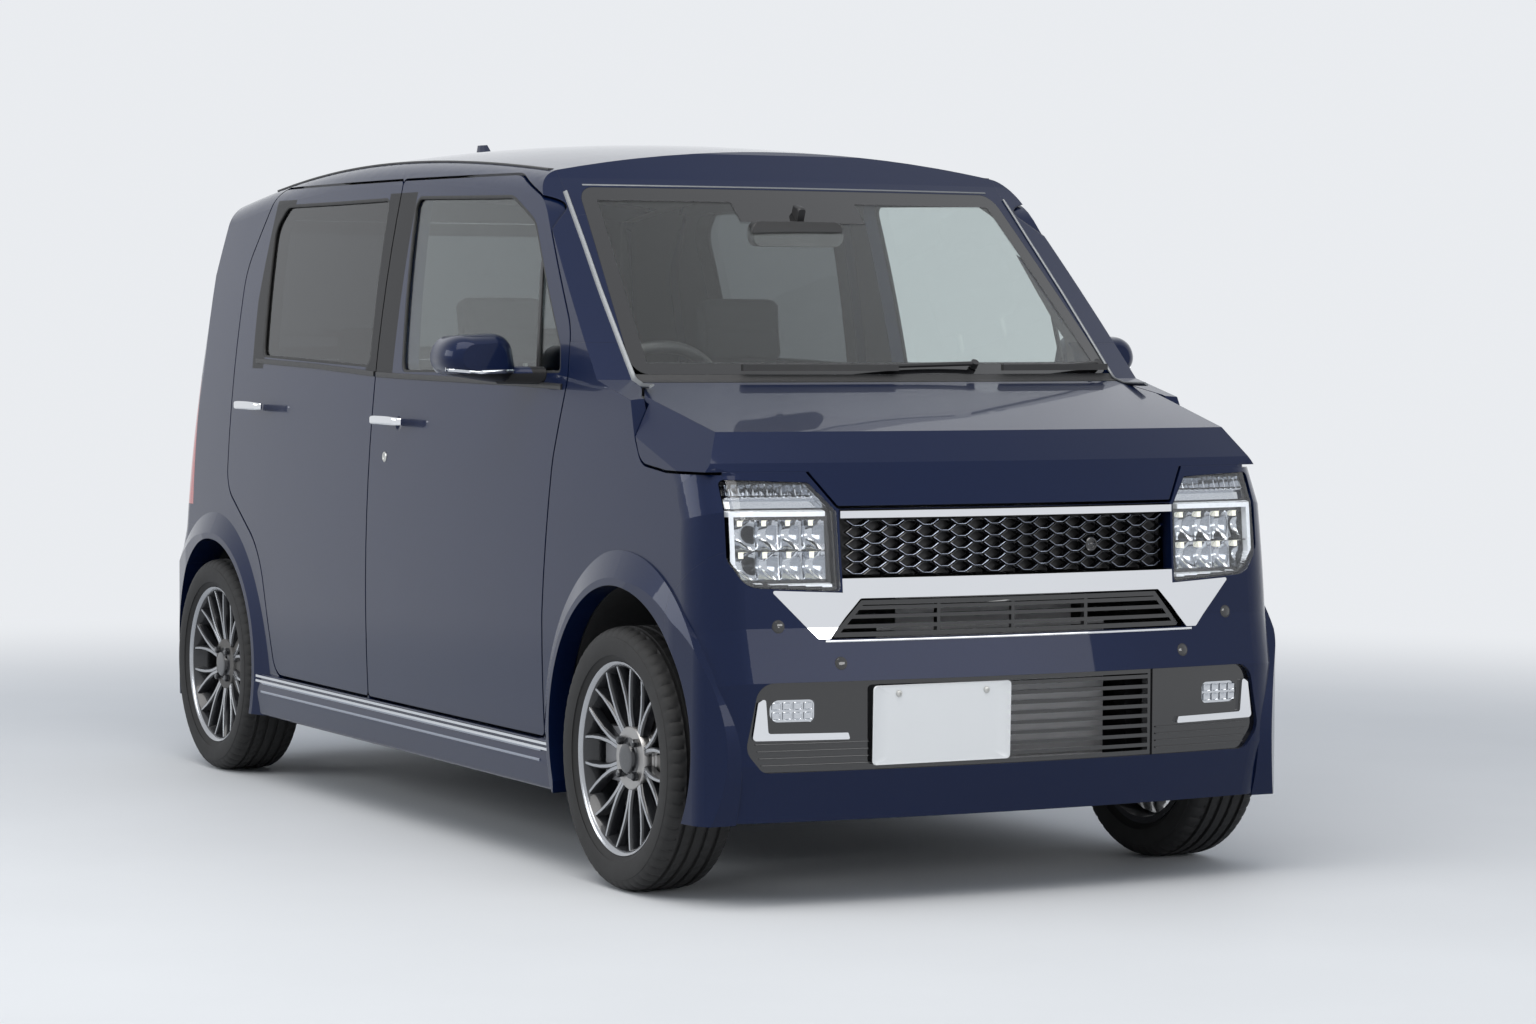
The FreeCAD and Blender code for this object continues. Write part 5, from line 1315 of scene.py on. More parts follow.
    def rim(self, name: str, centre: tuple, side: float, body: str) -> bpy.types.Object:
        """Builds a rim: turned barrel, hub and cap, forked spokes and lug nuts.

        Args:
            name: the piece's name.
            centre: the wheel's middle.
            side: -1 for the right side, 1 for the left.
            body: the body that it rides on.

        Returns:
            The object.
        """
        surface = Surface(name)

        def put(x: np.ndarray, tangent: np.ndarray, radius: np.ndarray, turn: np.ndarray) -> np.ndarray:
            """Turns points (x, tangent, radius) about the axle."""
            along = -(radius * np.sin(turn) + tangent * np.cos(turn))
            up = radius * np.cos(turn) - tangent * np.sin(turn)
            return np.stack([centre[0] + side * x, centre[1] + along, centre[2] + up], axis=-1)

        lip = np.array([(40, 190), (58, 194.5), (66, 199.5), (68.2, 203.2), (69.4, 206.0), (68.6, 207.2), (62.0, 207.0),
                        (59, 204.0), (30, 202.5), (14, 189), (-14, 189), (-30, 202.5), (-59, 203.0), (-62, 206.5),
                        (-69, 206.5), (-69.8, 192), (-40, 190), (-30, 184), (14, 182), (30, 186), (40, 190)], float)
        mark = ((lip[:, 0] > 64) & (lip[:, 1] > 198)).astype(np.float32)
        surface.grid(turned(lip * np.array([side, 1]), centre, 128), False, True, mark=np.repeat(mark, 128))
        hub = np.array([(30, 66), (38, 66), (43, 60), (44, 44), (46, 34), (52, 32.5), (54, 31), (54.6, 28), (54.8, 20),
                        (55.2, 0.01)], float)
        surface.grid(turned(hub * np.array([side, 1]), centre, 72), False, True)
        grids, marks = self.spoke()
        for index in range(self.spokes):
            turn = np.float64(2 * np.pi * index / self.spokes)
            for grid, mark in zip(grids, marks):
                surface.grid(put(grid[..., 0], grid[..., 1], grid[..., 2], turn), mark=mark)
        for index in range(4):
            turn = np.pi / 4 + np.pi / 2 * index
            nut = np.array([(40, 9.6), (53, 9.6), (56, 8.2), (57.5, 5.5), (57.8, 0.01)], float)
            steps = np.linspace(0, 2 * np.pi, 7)[:-1]
            tangent = nut[:, 1][:, None] * np.cos(steps) + 0.0
            radius = 50.0 + nut[:, 1][:, None] * np.sin(steps)
            surface.grid(put(nut[:, 0][:, None] + 0 * steps, tangent, radius, turn), False, True)
        return surface.build(("wheel_alloy",), body, "rim_alloy", 28.0)

    def brake(self, name: str, centre: tuple, side: float, body: str, front: bool) -> None:
        """Builds the disc with its hat, or the drum with its ribs, that shows between the spokes.

        Args:
            name: the piece's name.
            centre: the wheel's middle.
            side: -1 for the right side, 1 for the left.
            body: the body that it rides on.
            front: whether it is a disc.
        """
        if front:
            rows = [(0, 26), (27, 26), (27, 66), (24.5, 68.5), (8, 70), (5, 74), (5, 78), (1.5, 80), (1.5, 130.5),
                    (-1, 131), (-7, 131), (-8, 129), (-8, 120), (-10.5, 120), (-10.5, 129), (-12, 131), (-17, 131),
                    (-18.5, 130), (-18.5, 76), (-6, 72), (-6, 30), (0, 26)]
        else:
            rows = [(27, 26), (27, 62), (25, 66), (18, 68), (14, 96), (11, 102), (6, 104.5), (-28, 104.5), (-31, 108),
                    (-36, 108), (-36, 80), (-10, 78), (-10, 26), (27, 26)]
        grid = turned((np.array(rows, float) + np.array([17.0, 0])) * np.array([side, 1]), centre, 96)
        Surface(name).grid(grid, False, True).build(("disc_steel" if front else "cast_iron",), body, "cast", 40.0)

    def build(self) -> None:
        """Builds the four wheels."""
        for name, side in SIDES:
            for axle, along in (("front", FRONT_AXLE), ("rear", REAR_AXLE)):
                centre = (side * HALF_TRACK, along, HUB_HEIGHT)
                body = f"wheel_{axle}_{name}"
                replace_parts(self.tyre(f"tyre_tread_{axle}_{name}", centre, side, body), f"tyre_{axle}_{name}")
                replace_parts(self.rim(f"alloy_rim_{axle}_{name}", centre, side, body), f"rim_{axle}_{name}")
                self.brake(f"brake_{axle}_{name}", centre, side, body, axle == "front")
            dress(f"knuckle_{name}", "caliper_grey")


# ---------------------------------------------------------------- cabin and the rest


@dataclass
class PlainFinishes:
    """CAD nodes that keep their shape and only take a finish."""

    table: tuple = (
        ("cowl", "grained_black"), ("lower_grilles", "gloss_black"), ("fog_bezels", "gloss_black"),
        ("nose_garnish", "chrome"), ("bright_trim", "chrome"), ("wipers", "satin_black"),
        ("floor_pan", "carpet"), ("wheel_houses", "grained_black"), ("front_frame", "chassis_black"),
        ("front_suspension", "chassis_black"), ("rear_axle", "chassis_black"), ("exhaust", "exhaust_steel"),
        ("dashboard", "dash_plastic"), ("steering_wheel", "wheel_leather"), ("engine_block", "alloy_cast"),
        ("radiator", "alloy_cast"), ("fuel_tank", "satin_black"), ("fog_lamps", "bright_reflector"),
        ("tail_lamps", "stop_red"), ("rear_seat", "seat_cloth"), ("front_seat_left", "seat_cloth"),
        ("front_seat_right", "seat_cloth"), ("handle_front_left", "chrome"), ("handle_front_right", "chrome"),
        ("handle_rear_left", "chrome"), ("handle_rear_right", "chrome"),
    )

    def build(self) -> None:
        """Dresses the nodes."""
        for node, finish in self.table:
            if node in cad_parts:
                dress(node, finish)


@dataclass(frozen=True)
class Pad:
    """One cushion: its middle, half sizes, lean about the x axis and its sewn lines."""

    name: str
    middle: tuple[float, float, float]
    half: tuple[float, float, float]
    lean: float
    lines: tuple[float, ...] = ()
    bolster: float = 0.0
    sat_on: int = 1


@dataclass
class Seats:
    """Cushions, backrests and head restraints, blown up as cloth and then sewn."""

    steps: int = 26
    cap: float = 13.0
    offset: float = 330.0
    pressure: float = 4.0
    frames: int = 20

    def pads(self, side: float) -> tuple[Pad, ...]:
        """Gives the front seat's pads on one side.

        Args:
            side: -1 for the right side, 1 for the left.

        Returns:
            The pads.
        """
        x = side * self.offset
        return (Pad("cushion", (x, -128, 432), (246, 246, 62), -5.0, (-0.35, 0.1, 0.55), 0.66, 2),
                Pad("back", (x, 208, 742), (242, 58, 342), 9.0, (-0.62, -0.3, 0.05, 0.4), 0.64),
                Pad("headrest", (x, 270, 1178), (118, 40, 86), 8.0, (0.0,)))

    def rear_pads(self) -> tuple[Pad, ...]:
        """Gives the rear bench's pads.

        Returns:
            The pads.
        """
        pads = []
        for tag, x in (("right", -262.0), ("left", 262.0)):
            pads.append(Pad(f"cushion_{tag}", (x, 850, 459), (256, 226, 56), -3.0, (-0.2, 0.35), 0.7, 2))
            pads.append(Pad(f"back_{tag}", (x, 1192, 728), (255, 52, 296), 14.0, (-0.45, 0.0, 0.45), 0.7))
            pads.append(Pad(f"headrest_{tag}", (x, 1272, 1114), (108, 34, 70), 12.0, (0.0,)))
        return tuple(pads)

    def shell(self, pad: Pad) -> tuple[np.ndarray, np.ndarray]:
        """Makes a pad's closed form: a box of even squares whose edges are rounded and whose faces are crowned.

        Each point is pulled to within a radius of an inner box; the sat-on face rises by (1 - u^2)(1 - v^2) and
        the sides pull in between the corners.

        Args:
            pad: the pad.

        Returns:
            The points round the pad's own middle and the faces.
        """
        across = np.linspace(-1, 1, self.steps)
        u, v = np.meshgrid(across, across, indexing="ij")
        points, faces = [], []
        for axis in range(3):
            for way in (-1.0, 1.0):
                square = np.empty(u.shape + (3,))
                square[..., axis] = way
                square[..., (axis + 1) % 3] = u if way > 0 else v
                square[..., (axis + 2) % 3] = v if way > 0 else u
                faces.append(quads(*u.shape) + len(points) * u.size)
                points.append(square.reshape(-1, 3))
        cube = np.concatenate(points)
        half = np.array(pad.half) - 4.0
        radius = half.min() * 0.8
        place = cube * half
        inner = np.clip(place, radius - half, half - radius)
        away = place - inner
        place = inner + radius * away / np.maximum(np.linalg.norm(away, axis=1), 1e-9)[:, None]
        share = place / half
        first, second = [axis for axis in range(3) if axis != pad.sat_on]
        pulled = 1 - 0.035 * (1 - share[:, second] ** 2)
        place[:, first] *= pulled
        place[:, second] *= 1 - 0.03 * (1 - share[:, first] ** 2)
        crown = (1 - share[:, first] ** 2) * (1 - share[:, second] ** 2)
        place[:, pad.sat_on] *= 1 + 0.06 * np.clip(crown, 0, 1)
        return place, np.concatenate(faces)

    def blow_up(self, name: str, points: np.ndarray, faces: np.ndarray) -> tuple[np.ndarray, np.ndarray]:
        """Swells a closed form as cloth under pressure, each point held to within the cap.

        Args:
            name: the pad's name.
            points: the form's points in millimetres.
            faces: its faces.

        Returns:
            The swollen points in millimetres and the welded mesh's faces.
        """
        mesh = bpy.data.meshes.new(name)
        mesh.from_pydata((points * MM).tolist(), [], faces.tolist())
        tidy_mesh(mesh, 60.0)
        start = np.empty(len(mesh.vertices) * 3, np.float32)
        mesh.vertices.foreach_get("co", start)
        corners = np.empty(len(mesh.polygons) * 4, np.int32)
        mesh.loops.foreach_get("vertex_index", corners)
        after = start
        helper = bpy.data.objects.new(name, mesh)
        bpy.context.scene.collection.objects.link(helper)
        cloth = helper.modifiers.new("cloth", "CLOTH")
        cloth.settings.use_pressure = True
        cloth.settings.uniform_pressure_force = self.pressure
        cloth.settings.effector_weights.gravity = 0.0
        cloth.settings.quality = 4
        cloth.point_cache.frame_start = 1
        cloth.point_cache.frame_end = self.frames
        for step in range(1, self.frames + 1):
            bpy.context.scene.frame_set(step)
        after = np.empty_like(start)
        helper.evaluated_get(bpy.context.evaluated_depsgraph_get()).data.vertices.foreach_get("co", after)
        bpy.data.objects.remove(helper)
        bpy.context.scene.frame_set(1)
        bpy.data.meshes.remove(mesh)
        before, after = start.reshape(-1, 3) / MM, after.reshape(-1, 3) / MM
        move = after - before
        far = np.linalg.norm(move, axis=1)[:, None]
        return before + move * np.minimum(1, self.cap / np.maximum(far, 1e-9)), corners.reshape(-1, 4)

    def sew(self, pad: Pad, points: np.ndarray) -> np.ndarray:
        """Draws the sewn channels in: each is a narrow bell curve, deepest in the middle of the panel.

        Args:
            pad: the pad.
            points: its swollen points.

        Returns:
            The points, drawn in.
        """
        place = points.copy()
        share = points / np.array(pad.half)
        first, second = (0, 2) if pad.sat_on == 1 else (0, 1)
        facing = -1.0 if pad.sat_on == 1 else 1.0
        top = (share[:, pad.sat_on] * facing > 0.35).astype(float)
        depth = np.zeros(len(points))
        inside = np.ones(len(points))
        if pad.bolster:
            inside = 1 / (1 + np.exp((np.abs(share[:, first]) - pad.bolster) * 40))
            seam = np.exp(-((np.abs(share[:, first]) - pad.bolster) * pad.half[first] / 7.0) ** 2)
            depth += 9.0 * seam - 9.0 * (1 - inside) * (np.abs(share[:, first]) < 0.93)
        for line in pad.lines:
            depth += 6.5 * inside * np.exp(-((share[:, second] - line) * pad.half[second] / 6.5) ** 2)
        edge = np.exp(-((share[:, pad.sat_on] * facing - 0.45) * pad.half[pad.sat_on] / 4.0) ** 2)
        place[:, pad.sat_on] -= facing * depth * top
        side = np.linalg.norm(points[:, [first, second]], axis=1)[:, None]
        place[:, [first, second]] -= points[:, [first, second]] / np.maximum(side, 1e-9) * (3.0 * edge)[:, None]
        return place

    def pad(self, tag: str, pad: Pad, node: str) -> None:
        """Builds one pad on the root body.

        Args:
            tag: what the piece's name starts with.
            pad: the pad.
            node: the node that it stands in for.
        """
        points, faces = self.shell(pad)
        points, faces = self.blow_up(f"{tag}_{pad.name}", points, faces)
        points = self.sew(pad, points)
        lean = math.radians(pad.lean)
        along = points[:, 1] * math.cos(lean) + points[:, 2] * math.sin(lean)
        up = points[:, 2] * math.cos(lean) - points[:, 1] * math.sin(lean)
        points = np.column_stack([points[:, 0], along, up]) + np.array(pad.middle)
        surface = Surface(f"{tag}_{pad.name}", [points], [faces], [np.zeros(len(faces), np.int32)],
                          [np.zeros(len(points), np.float32)], len(points))
        piece = surface.build(("seat_cloth",), "root", "seat_fabric", 180.0)
        smooth = piece.modifiers.new("finer", "SUBSURF")
        smooth.levels = smooth.render_levels = 1
        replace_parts(piece, node)

    def base(self, name: str, middle: float) -> None:
        """Builds the moulded base under a front seat, with its flared foot.

        Args:
            name: the side's name.
            middle: the seat's middle across the car.
        """
        outline = rounded_outline(((-185, -320, 30), (185, -320, 30), (185, 110, 30), (-185, 110, 30)), 6)

        def put(a: np.ndarray, b: np.ndarray, deep: np.ndarray) -> np.ndarray:
            """Places points of the base."""
            return np.stack([middle + a, b, deep], axis=-1)

        layers = ((-12.0, 252.0), (-12.0, 262.0), (0.0, 275.0), (6.0, 330.0), (-10.0, 366.0), (-14.0, 380.0))
        Surface(f"seat_base_{name}").grid(slab(outline, layers, put), False, True).build(
            ("grained_black",), "root", "cabin_plastic")

    def posts(self, name: str, middle: float, place: float, level: float) -> None:
        """Builds the two bright posts under a head restraint.

        Args:
            name: the seat's name.
            middle: its middle across the car.
            place: where the posts' feet lie along the car.
            level: their feet's height.
        """
        surface = Surface(f"headrest_posts_{name}")
        for across in (-62.0, 62.0):
            path = evened(np.array([(middle + across, place, level), (middle + across, place + 14, level + 90)]), 4)
            surface.grid(carried(path, ring(6.0, 10), (1, 0, 0)), False, True)
        surface.build(("zinc_screw",), "root", "bright_chrome")

    def build(self) -> None:
        """Builds every seat."""
        for name, side in SIDES:
            for pad in self.pads(side):
                self.pad(f"front_{name}", pad, f"front_seat_{name}")
            self.base(name, side * self.offset)
            self.posts(f"front_{name}", side * self.offset, 252.0, 1040.0)
        for pad in self.rear_pads():
            self.pad("rear", pad, "rear_seat")


@dataclass
class Mirrors:
    """Turn lamp strips and the glass of the door mirrors."""

    def build(self) -> None:
        """Builds both mirrors' fittings."""
        for name, side in SIDES:
            flat = eased(np.array([(side * 742, 1094), (side * 830, 1092), (side * 893, 1098)], float), 24, 2)
            start = np.column_stack([flat[:, 0], np.full(24, -950.0), flat[:, 1]])
            spots = landed(start, (f"mirror_{name}",), "+Y")
            Surface(f"turn_lamp_{name}").grid(carried(spots, bar(9.0, 4.0, 1.6), (0, -1, 0)), False, True).build(
                ("bright_reflector",), f"door_front_{name}", "lamp_clear")
            outline = rounded_outline(((736, 1078, 26), (892, 1086, 26), (888, 1164, 30), (742, 1166, 26)), 8)
            outline = outline * np.array([side, 1.0])

            def put(a: np.ndarray, b: np.ndarray, deep: np.ndarray) -> np.ndarray:
                """Places points of the glass."""
                return np.stack([a, -626.0 + deep, b], axis=-1)

            layers = ((0.0, -1.0), (0.0, 1.5), (2.0, 2.4), (2.4, 1.2), (30.0, 1.2))
            Surface(f"mirror_glass_{name}").grid(slab(outline, layers, put), False, True).build(
                ("mirror_glass",), f"door_front_{name}", "bright_chrome", 20.0)


@dataclass
class RoofTrim:
    """Grey strips down the windshield pillars and along the roof, and the bright line over the windshield."""

    pillar: tuple = ((624, -1196), (613, -1120), (606, -1004), (597, -874), (585, -754), (575, -640))
    ditch: tuple = ((573, -560), (572.5, 0), (573, 600), (573, 1180))

    def build(self) -> None:
        """Builds the strips of both sides and the header's line."""
        for name, side in SIDES:
            nodes = (f"side_frame_{name}", f"fender_{name}", "roof_panel")
            for tag, line, wide, finish in (("pillar", self.pillar, 13.0, "silver_trim"),
                                            ("ditch", self.ditch, 15.0, "satin_black")):
                flat = evened(np.array(line, float) * np.array([side, 1.0]), 48)
                start = np.column_stack([flat, np.full(len(flat), ABOVE)])
                spots = landed(start, nodes, "-Z")
                side_way = (side * 0.5, 0, 0.87) if tag == "pillar" else (0, 0, 1)
                strip(f"{tag}_strip_{name}", spots, bar(wide, 5.0, 1.8), side_way, finish, "black_plastic")
        flat = evened(np.array([(-528, 1513), (528, 1513)], float), 40)
        spots = end_on(flat, ("roof_panel", "windshield"), -1500.0)
        strip("header_line", spots, bar(5.0, 3.0, 1.2), (0, -0.77, 0.64), "silver_trim", "bright_chrome")


@dataclass
class NoseTrim:
    """Small parts of the nose: sensors, fog lamp chips, bezel ribs, the slot's bright line and the camera."""

    def dot(self, surface: Surface, x: float, z: float, radius: float, high: float, kind: int) -> None:
        """Adds a round button with a rounded edge that lies on the bumper.

        Args:
            surface: what it is added to.
            x: its middle's width.
            z: its middle's height.
            radius: its radius.
            high: how far it stands out.
            kind: its finish's number.
        """
        outline = ring(radius, 28) + np.array([x, z])
        place = end_on(outline, ("front_bumper",), AHEAD)
        middle = place[:, 1].mean()

        def put(a: np.ndarray, b: np.ndarray, deep: np.ndarray) -> np.ndarray:
            """Places points of the button, which follows the bumper's slope."""
            slope = (place[:, 1] - middle)
            away = np.hypot(a - x, b - z) / radius
            return np.stack([a, middle + slope * away - deep, b], axis=-1)

        layers = ((0.0, -2.0), (0.0, high * 0.5), (radius * 0.12, high), (radius * 0.9, high))
        surface.grid(slab(outline, layers, put), False, True, kind=kind)

    def build(self) -> None:
        """Builds the small parts."""
        sensors = Surface("nose_sensors")
        for x, z in ((-548, 584), (548, 584), (-418, 507), (418, 507)):
            self.dot(sensors, x, z, 13.5, 0.7, 0)
            self.dot(sensors, x, z, 11.0, 1.4, 1)
        sensors.build(("satin_black", "gloss_black"), "root", "black_plastic", 40.0)
        grille = Grille()
        fog = Surface("fog_chips")
        for side in (-1.0, 1.0):
            for column in range(4):
                for row in range(2):
                    x, z = side * (488.5 + column * 23.0), 401.0 + row * 20.0
                    outline = rounded_outline(((-9, -8, 2.5), (9, -8, 2.5), (9, 8, 2.5), (-9, 8, 2.5)), 4)

                    def put(a: np.ndarray, b: np.ndarray, deep: np.ndarray) -> np.ndarray:
                        """Places points of a chip on the nose's curve."""
                        return np.stack([x + a, grille.front(x + a) - 29.5 + deep, z + b], axis=-1)

                    layers = ((0.0, 1.0), (0.0, -0.6), (1.2, -1.4), (3.0, 0.6), (6.0, 0.9))
                    fog.grid(slab(outline, layers, put), False, True)
        fog.build(("bright_reflector",), "root", "lamp_inner", 30.0)
        ribs = Surface("bezel_ribs")
        for side in (-1.0, 1.0):
            for level in np.linspace(300, 344, 4):
                flat = evened(np.array([(side * 346, level), (side * (590 + (level - 300) * 0.3), level)]), 20)
                path = np.column_stack([flat[:, 0], grille.front(flat[:, 0]) - 31.5, flat[:, 1]])
                ribs.grid(carried(path, bar(3.0, 3.0, 1.0), (0, -1, 0)), False, True)
        ribs.build(("gloss_black",), "root", "gloss_black")
        flat = evened(np.array([(-448.0, 552.0), (448.0, 552.0)]), 80)
        spots = end_on(flat, ("front_bumper",), -BEHIND)
        spots[:, 1] -= 0.5
        strip("slot_line", spots, bar(5.0, 4.0, 1.5), (0, -1, 0), "chrome", "bright_chrome")
        lens = Surface("grille_camera")
        outline = ring(15.0, 32) + np.array([201.0, 738.0])

        def put(a: np.ndarray, b: np.ndarray, deep: np.ndarray) -> np.ndarray:
            """Places points of the lens on the nose's curve."""
            return np.stack([a, grille.front(a) + 16 - deep, b], axis=-1)

        layers = ((0.0, -14.0), (0.0, 4.0), (2.0, 6.0), (5.0, 6.2), (6.0, 3.0), (8.0, 3.0), (11.0, 5.0), (14.8, 5.6))
        lens.grid(slab(outline, layers, put), False, True)
        lens.build(("gloss_black",), "root", "gloss_black", 30.0)


@dataclass
class CabinFittings:
    """Inner mirror, camera box, dials, screen and vents."""

    def block(self, name: str, middle: tuple, half: tuple, radius: float, lean: float, finish: str,
              body: str = "root") -> None:
        """Builds a small housing: a rounded outline in layers, leaned about the x axis.

        Args:
            name: the piece's name.
            middle: its middle.
            half: its half sizes.
            radius: its corners' radius.
            lean: degrees that it leans.
            finish: its finish.
            body: the body that it rides on.
        """
        u, v = half[0], half[2]
        outline = rounded_outline(((-u, -v, radius), (u, -v, radius), (u, v, radius), (-u, v, radius)), 6)
        turn = math.radians(lean)

        def put(a: np.ndarray, b: np.ndarray, deep: np.ndarray) -> np.ndarray:
            """Places points of the housing and leans them."""
            along, up = deep * math.cos(turn) - b * math.sin(turn), deep * math.sin(turn) + b * math.cos(turn)
            return np.stack([middle[0] + a, middle[1] + along, middle[2] + up], axis=-1)

        deep = half[1]
        layers = ((3.0, -deep), (0.6, -deep * 0.82), (0.0, -deep * 0.5), (0.0, deep * 0.6), (1.0, deep * 0.9),
                  (4.0, deep), (6.0, deep * 0.94))
        Surface(name).grid(slab(outline, layers, put), False, True).build((finish,), body, "cabin_plastic", 40.0)

    def build(self) -> None:
        """Builds the fittings."""
        self.block("inner_mirror", (-60, -778, 1405), (118, 14, 30), 22, 0.0, "satin_black")
        self.block("inner_mirror_stalk", (-40, -752, 1446), (10, 16, 26), 6, 20.0, "satin_black")
        self.block("camera_box", (-31, -716, 1450), (88, 34, 16), 10, 40.0, "grained_black")
        self.block("dial_screen", (-330, -705, 1010), (128, 8, 36), 12, -18.0, "screen_glass")
        self.block("centre_screen", (0, -688, 985), (118, 9, 72), 9, -12.0, "screen_glass")
        self.block("centre_controls", (0, -686, 858), (108, 10, 34), 8, 0.0, "gloss_black")
        for tag, x in (("right", -580.0), ("left", 580.0), ("middle_right", -168.0), ("middle_left", 168.0)):
            self.block(f"vent_{tag}", (x, -690, 962), (42, 10, 34), 9, -8.0, "satin_black")


@dataclass
class RearTrim:
    """Rear plate, its garnish, the wiper, the high stop lamp and the bumper's reflectors."""

    def along(self, name: str, line: tuple, nodes: tuple, body: str, profile: np.ndarray, finish: str,
              slot: str, lift: float) -> None:
        """Carries a profile along a line (x, z) that lies on the tail.

        Args:
            name: the piece's name.
            line: its (x, z) corners.
            nodes: the nodes that it lies on.
            body: the body that it rides on.
            profile: its section.
            finish: its finish.
            slot: the record's material slot.
            lift: how far it stands out.
        """
        flat = eased(np.array(line, float), 40, 2)
        spots = end_on(flat, nodes, BEHIND)
        spots[:, 1] += lift
        strip(name, spots, profile, (0, 1, 0), finish, slot, body)

    def build(self) -> None:
        """Builds the rear's small parts."""
        across, up = np.meshgrid(np.linspace(-160.0, 160.0, 9), np.linspace(722.0, 878.0, 9))
        start = np.stack([across, np.full(across.shape, BEHIND), up], axis=-1)
        rear = landed(start, ("tailgate",), "-Y")[..., 1].max()
        FrontPlate().plate("plate_rear", (0.0, rear + 2.5, 800.0), "tailgate", 1.0)
        self.along("plate_garnish", ((-250, 915), (0, 921), (250, 915)), ("tailgate",), "tailgate",
                   bar(26.0, 14.0, 5.0), "chrome", "bright_chrome", 3.0)
        self.along("stop_lamp_high", ((-130, 1488), (0, 1492), (130, 1488)), ("tailgate",), "tailgate",
                   bar(14.0, 8.0, 3.0), "stop_red", "lamp_red", 2.0)
        self.along("rear_wiper_arm", ((-8, 1120), (-120, 1150), (-300, 1172)), ("tailgate_glass", "tailgate"),
                   "tailgate", bar(11.0, 9.0, 3.0), "satin_black", "black_plastic", 12.0)
        self.along("rear_wiper_blade", ((-90, 1128), (-260, 1156), (-430, 1160)), ("tailgate_glass", "tailgate"),
                   "tailgate", bar(7.0, 9.0, 2.0), "seal_rubber", "black_plastic", 5.0)
        for name, side in SIDES:
            self.along(f"rear_reflector_{name}", ((side * 480, 400), (side * 560, 402), (side * 630, 410)),
                       ("rear_bumper",), "root", bar(26.0, 7.0, 3.0), "stop_red", "lamp_red", 0.0)


@dataclass
class SideFittings:
    """Door handles, keyholes of the front doors and the bright strips along the skirts."""

    handles: tuple = (("front", 20.0, 964.0), ("rear", 968.0, 978.0))
    grip_half: float = 87.0

    def handle(self, place: str, middle: float, level: float, name: str, side: float) -> None:
        """Builds a door handle: a rounded bar along the door, bowed outwards, its ends curved in to their feet.

        Args:
            place: "front" or "rear".
            middle: where the handle's middle lies along the car.
            level: its height.
            name: the side's name.
            side: -1 for the right side, 1 for the left.
        """
        share = np.linspace(-1.0, 1.0, 41)
        bow = 750.0 + 3.5 * (1.0 - share ** 2) - 13.0 * np.abs(share) ** 10
        path = np.column_stack([side * bow, middle + share * self.grip_half, level + 1.5 * (1.0 - share ** 2)])
        size = 1.0 - 0.22 * np.abs(share) ** 4
        grip = carried(path, bar(22.0, 11.0, 5.0), (side, 0, 0), scale=size)
        piece = Surface(f"door_grip_{place}_{name}").grid(grip, False, True).build(
            ("chrome",), f"door_{place}_{name}", "bright_chrome", 50.0)
        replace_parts(piece, f"handle_{place}_{name}")

    def build(self) -> None:
        """Builds both sides' fittings."""
        for name, side in SIDES:
            for place, middle, level in self.handles:
                self.handle(place, middle, level, name, side)
            spot = beside(np.array([[94.0, 875.0]]), (f"door_front_{name}",), side)[0]
            outline = ring(12.5, 28)

            def put(a: np.ndarray, b: np.ndarray, deep: np.ndarray) -> np.ndarray:
                """Places points of the keyhole."""
                return np.stack([spot[0] + side * deep, spot[1] + a, spot[2] + b], axis=-1)

            layers = ((0.0, -1.5), (0.0, 1.2), (1.4, 2.2), (4.5, 2.2), (5.2, 1.2), (12.0, 1.2))
            Surface(f"keyhole_{name}").grid(slab(outline, layers, put), False, True).build(
                ("zinc_screw",), f"door_front_{name}", "bright_chrome", 30.0)
            for tag, level in (("upper", 262.0), ("lower", 240.0)):
                flat = evened(np.array([(-858, level), (0, level), (900, level)], float), 60)
                spots = beside(flat, (f"side_frame_{name}",), side)
                strip(f"skirt_strip_{tag}_{name}", spots, bar(6.5, 4.0, 1.5), (side, 0, 0), "dark_chrome",
                      "bright_chrome")


# ---------------------------------------------------------------- studio


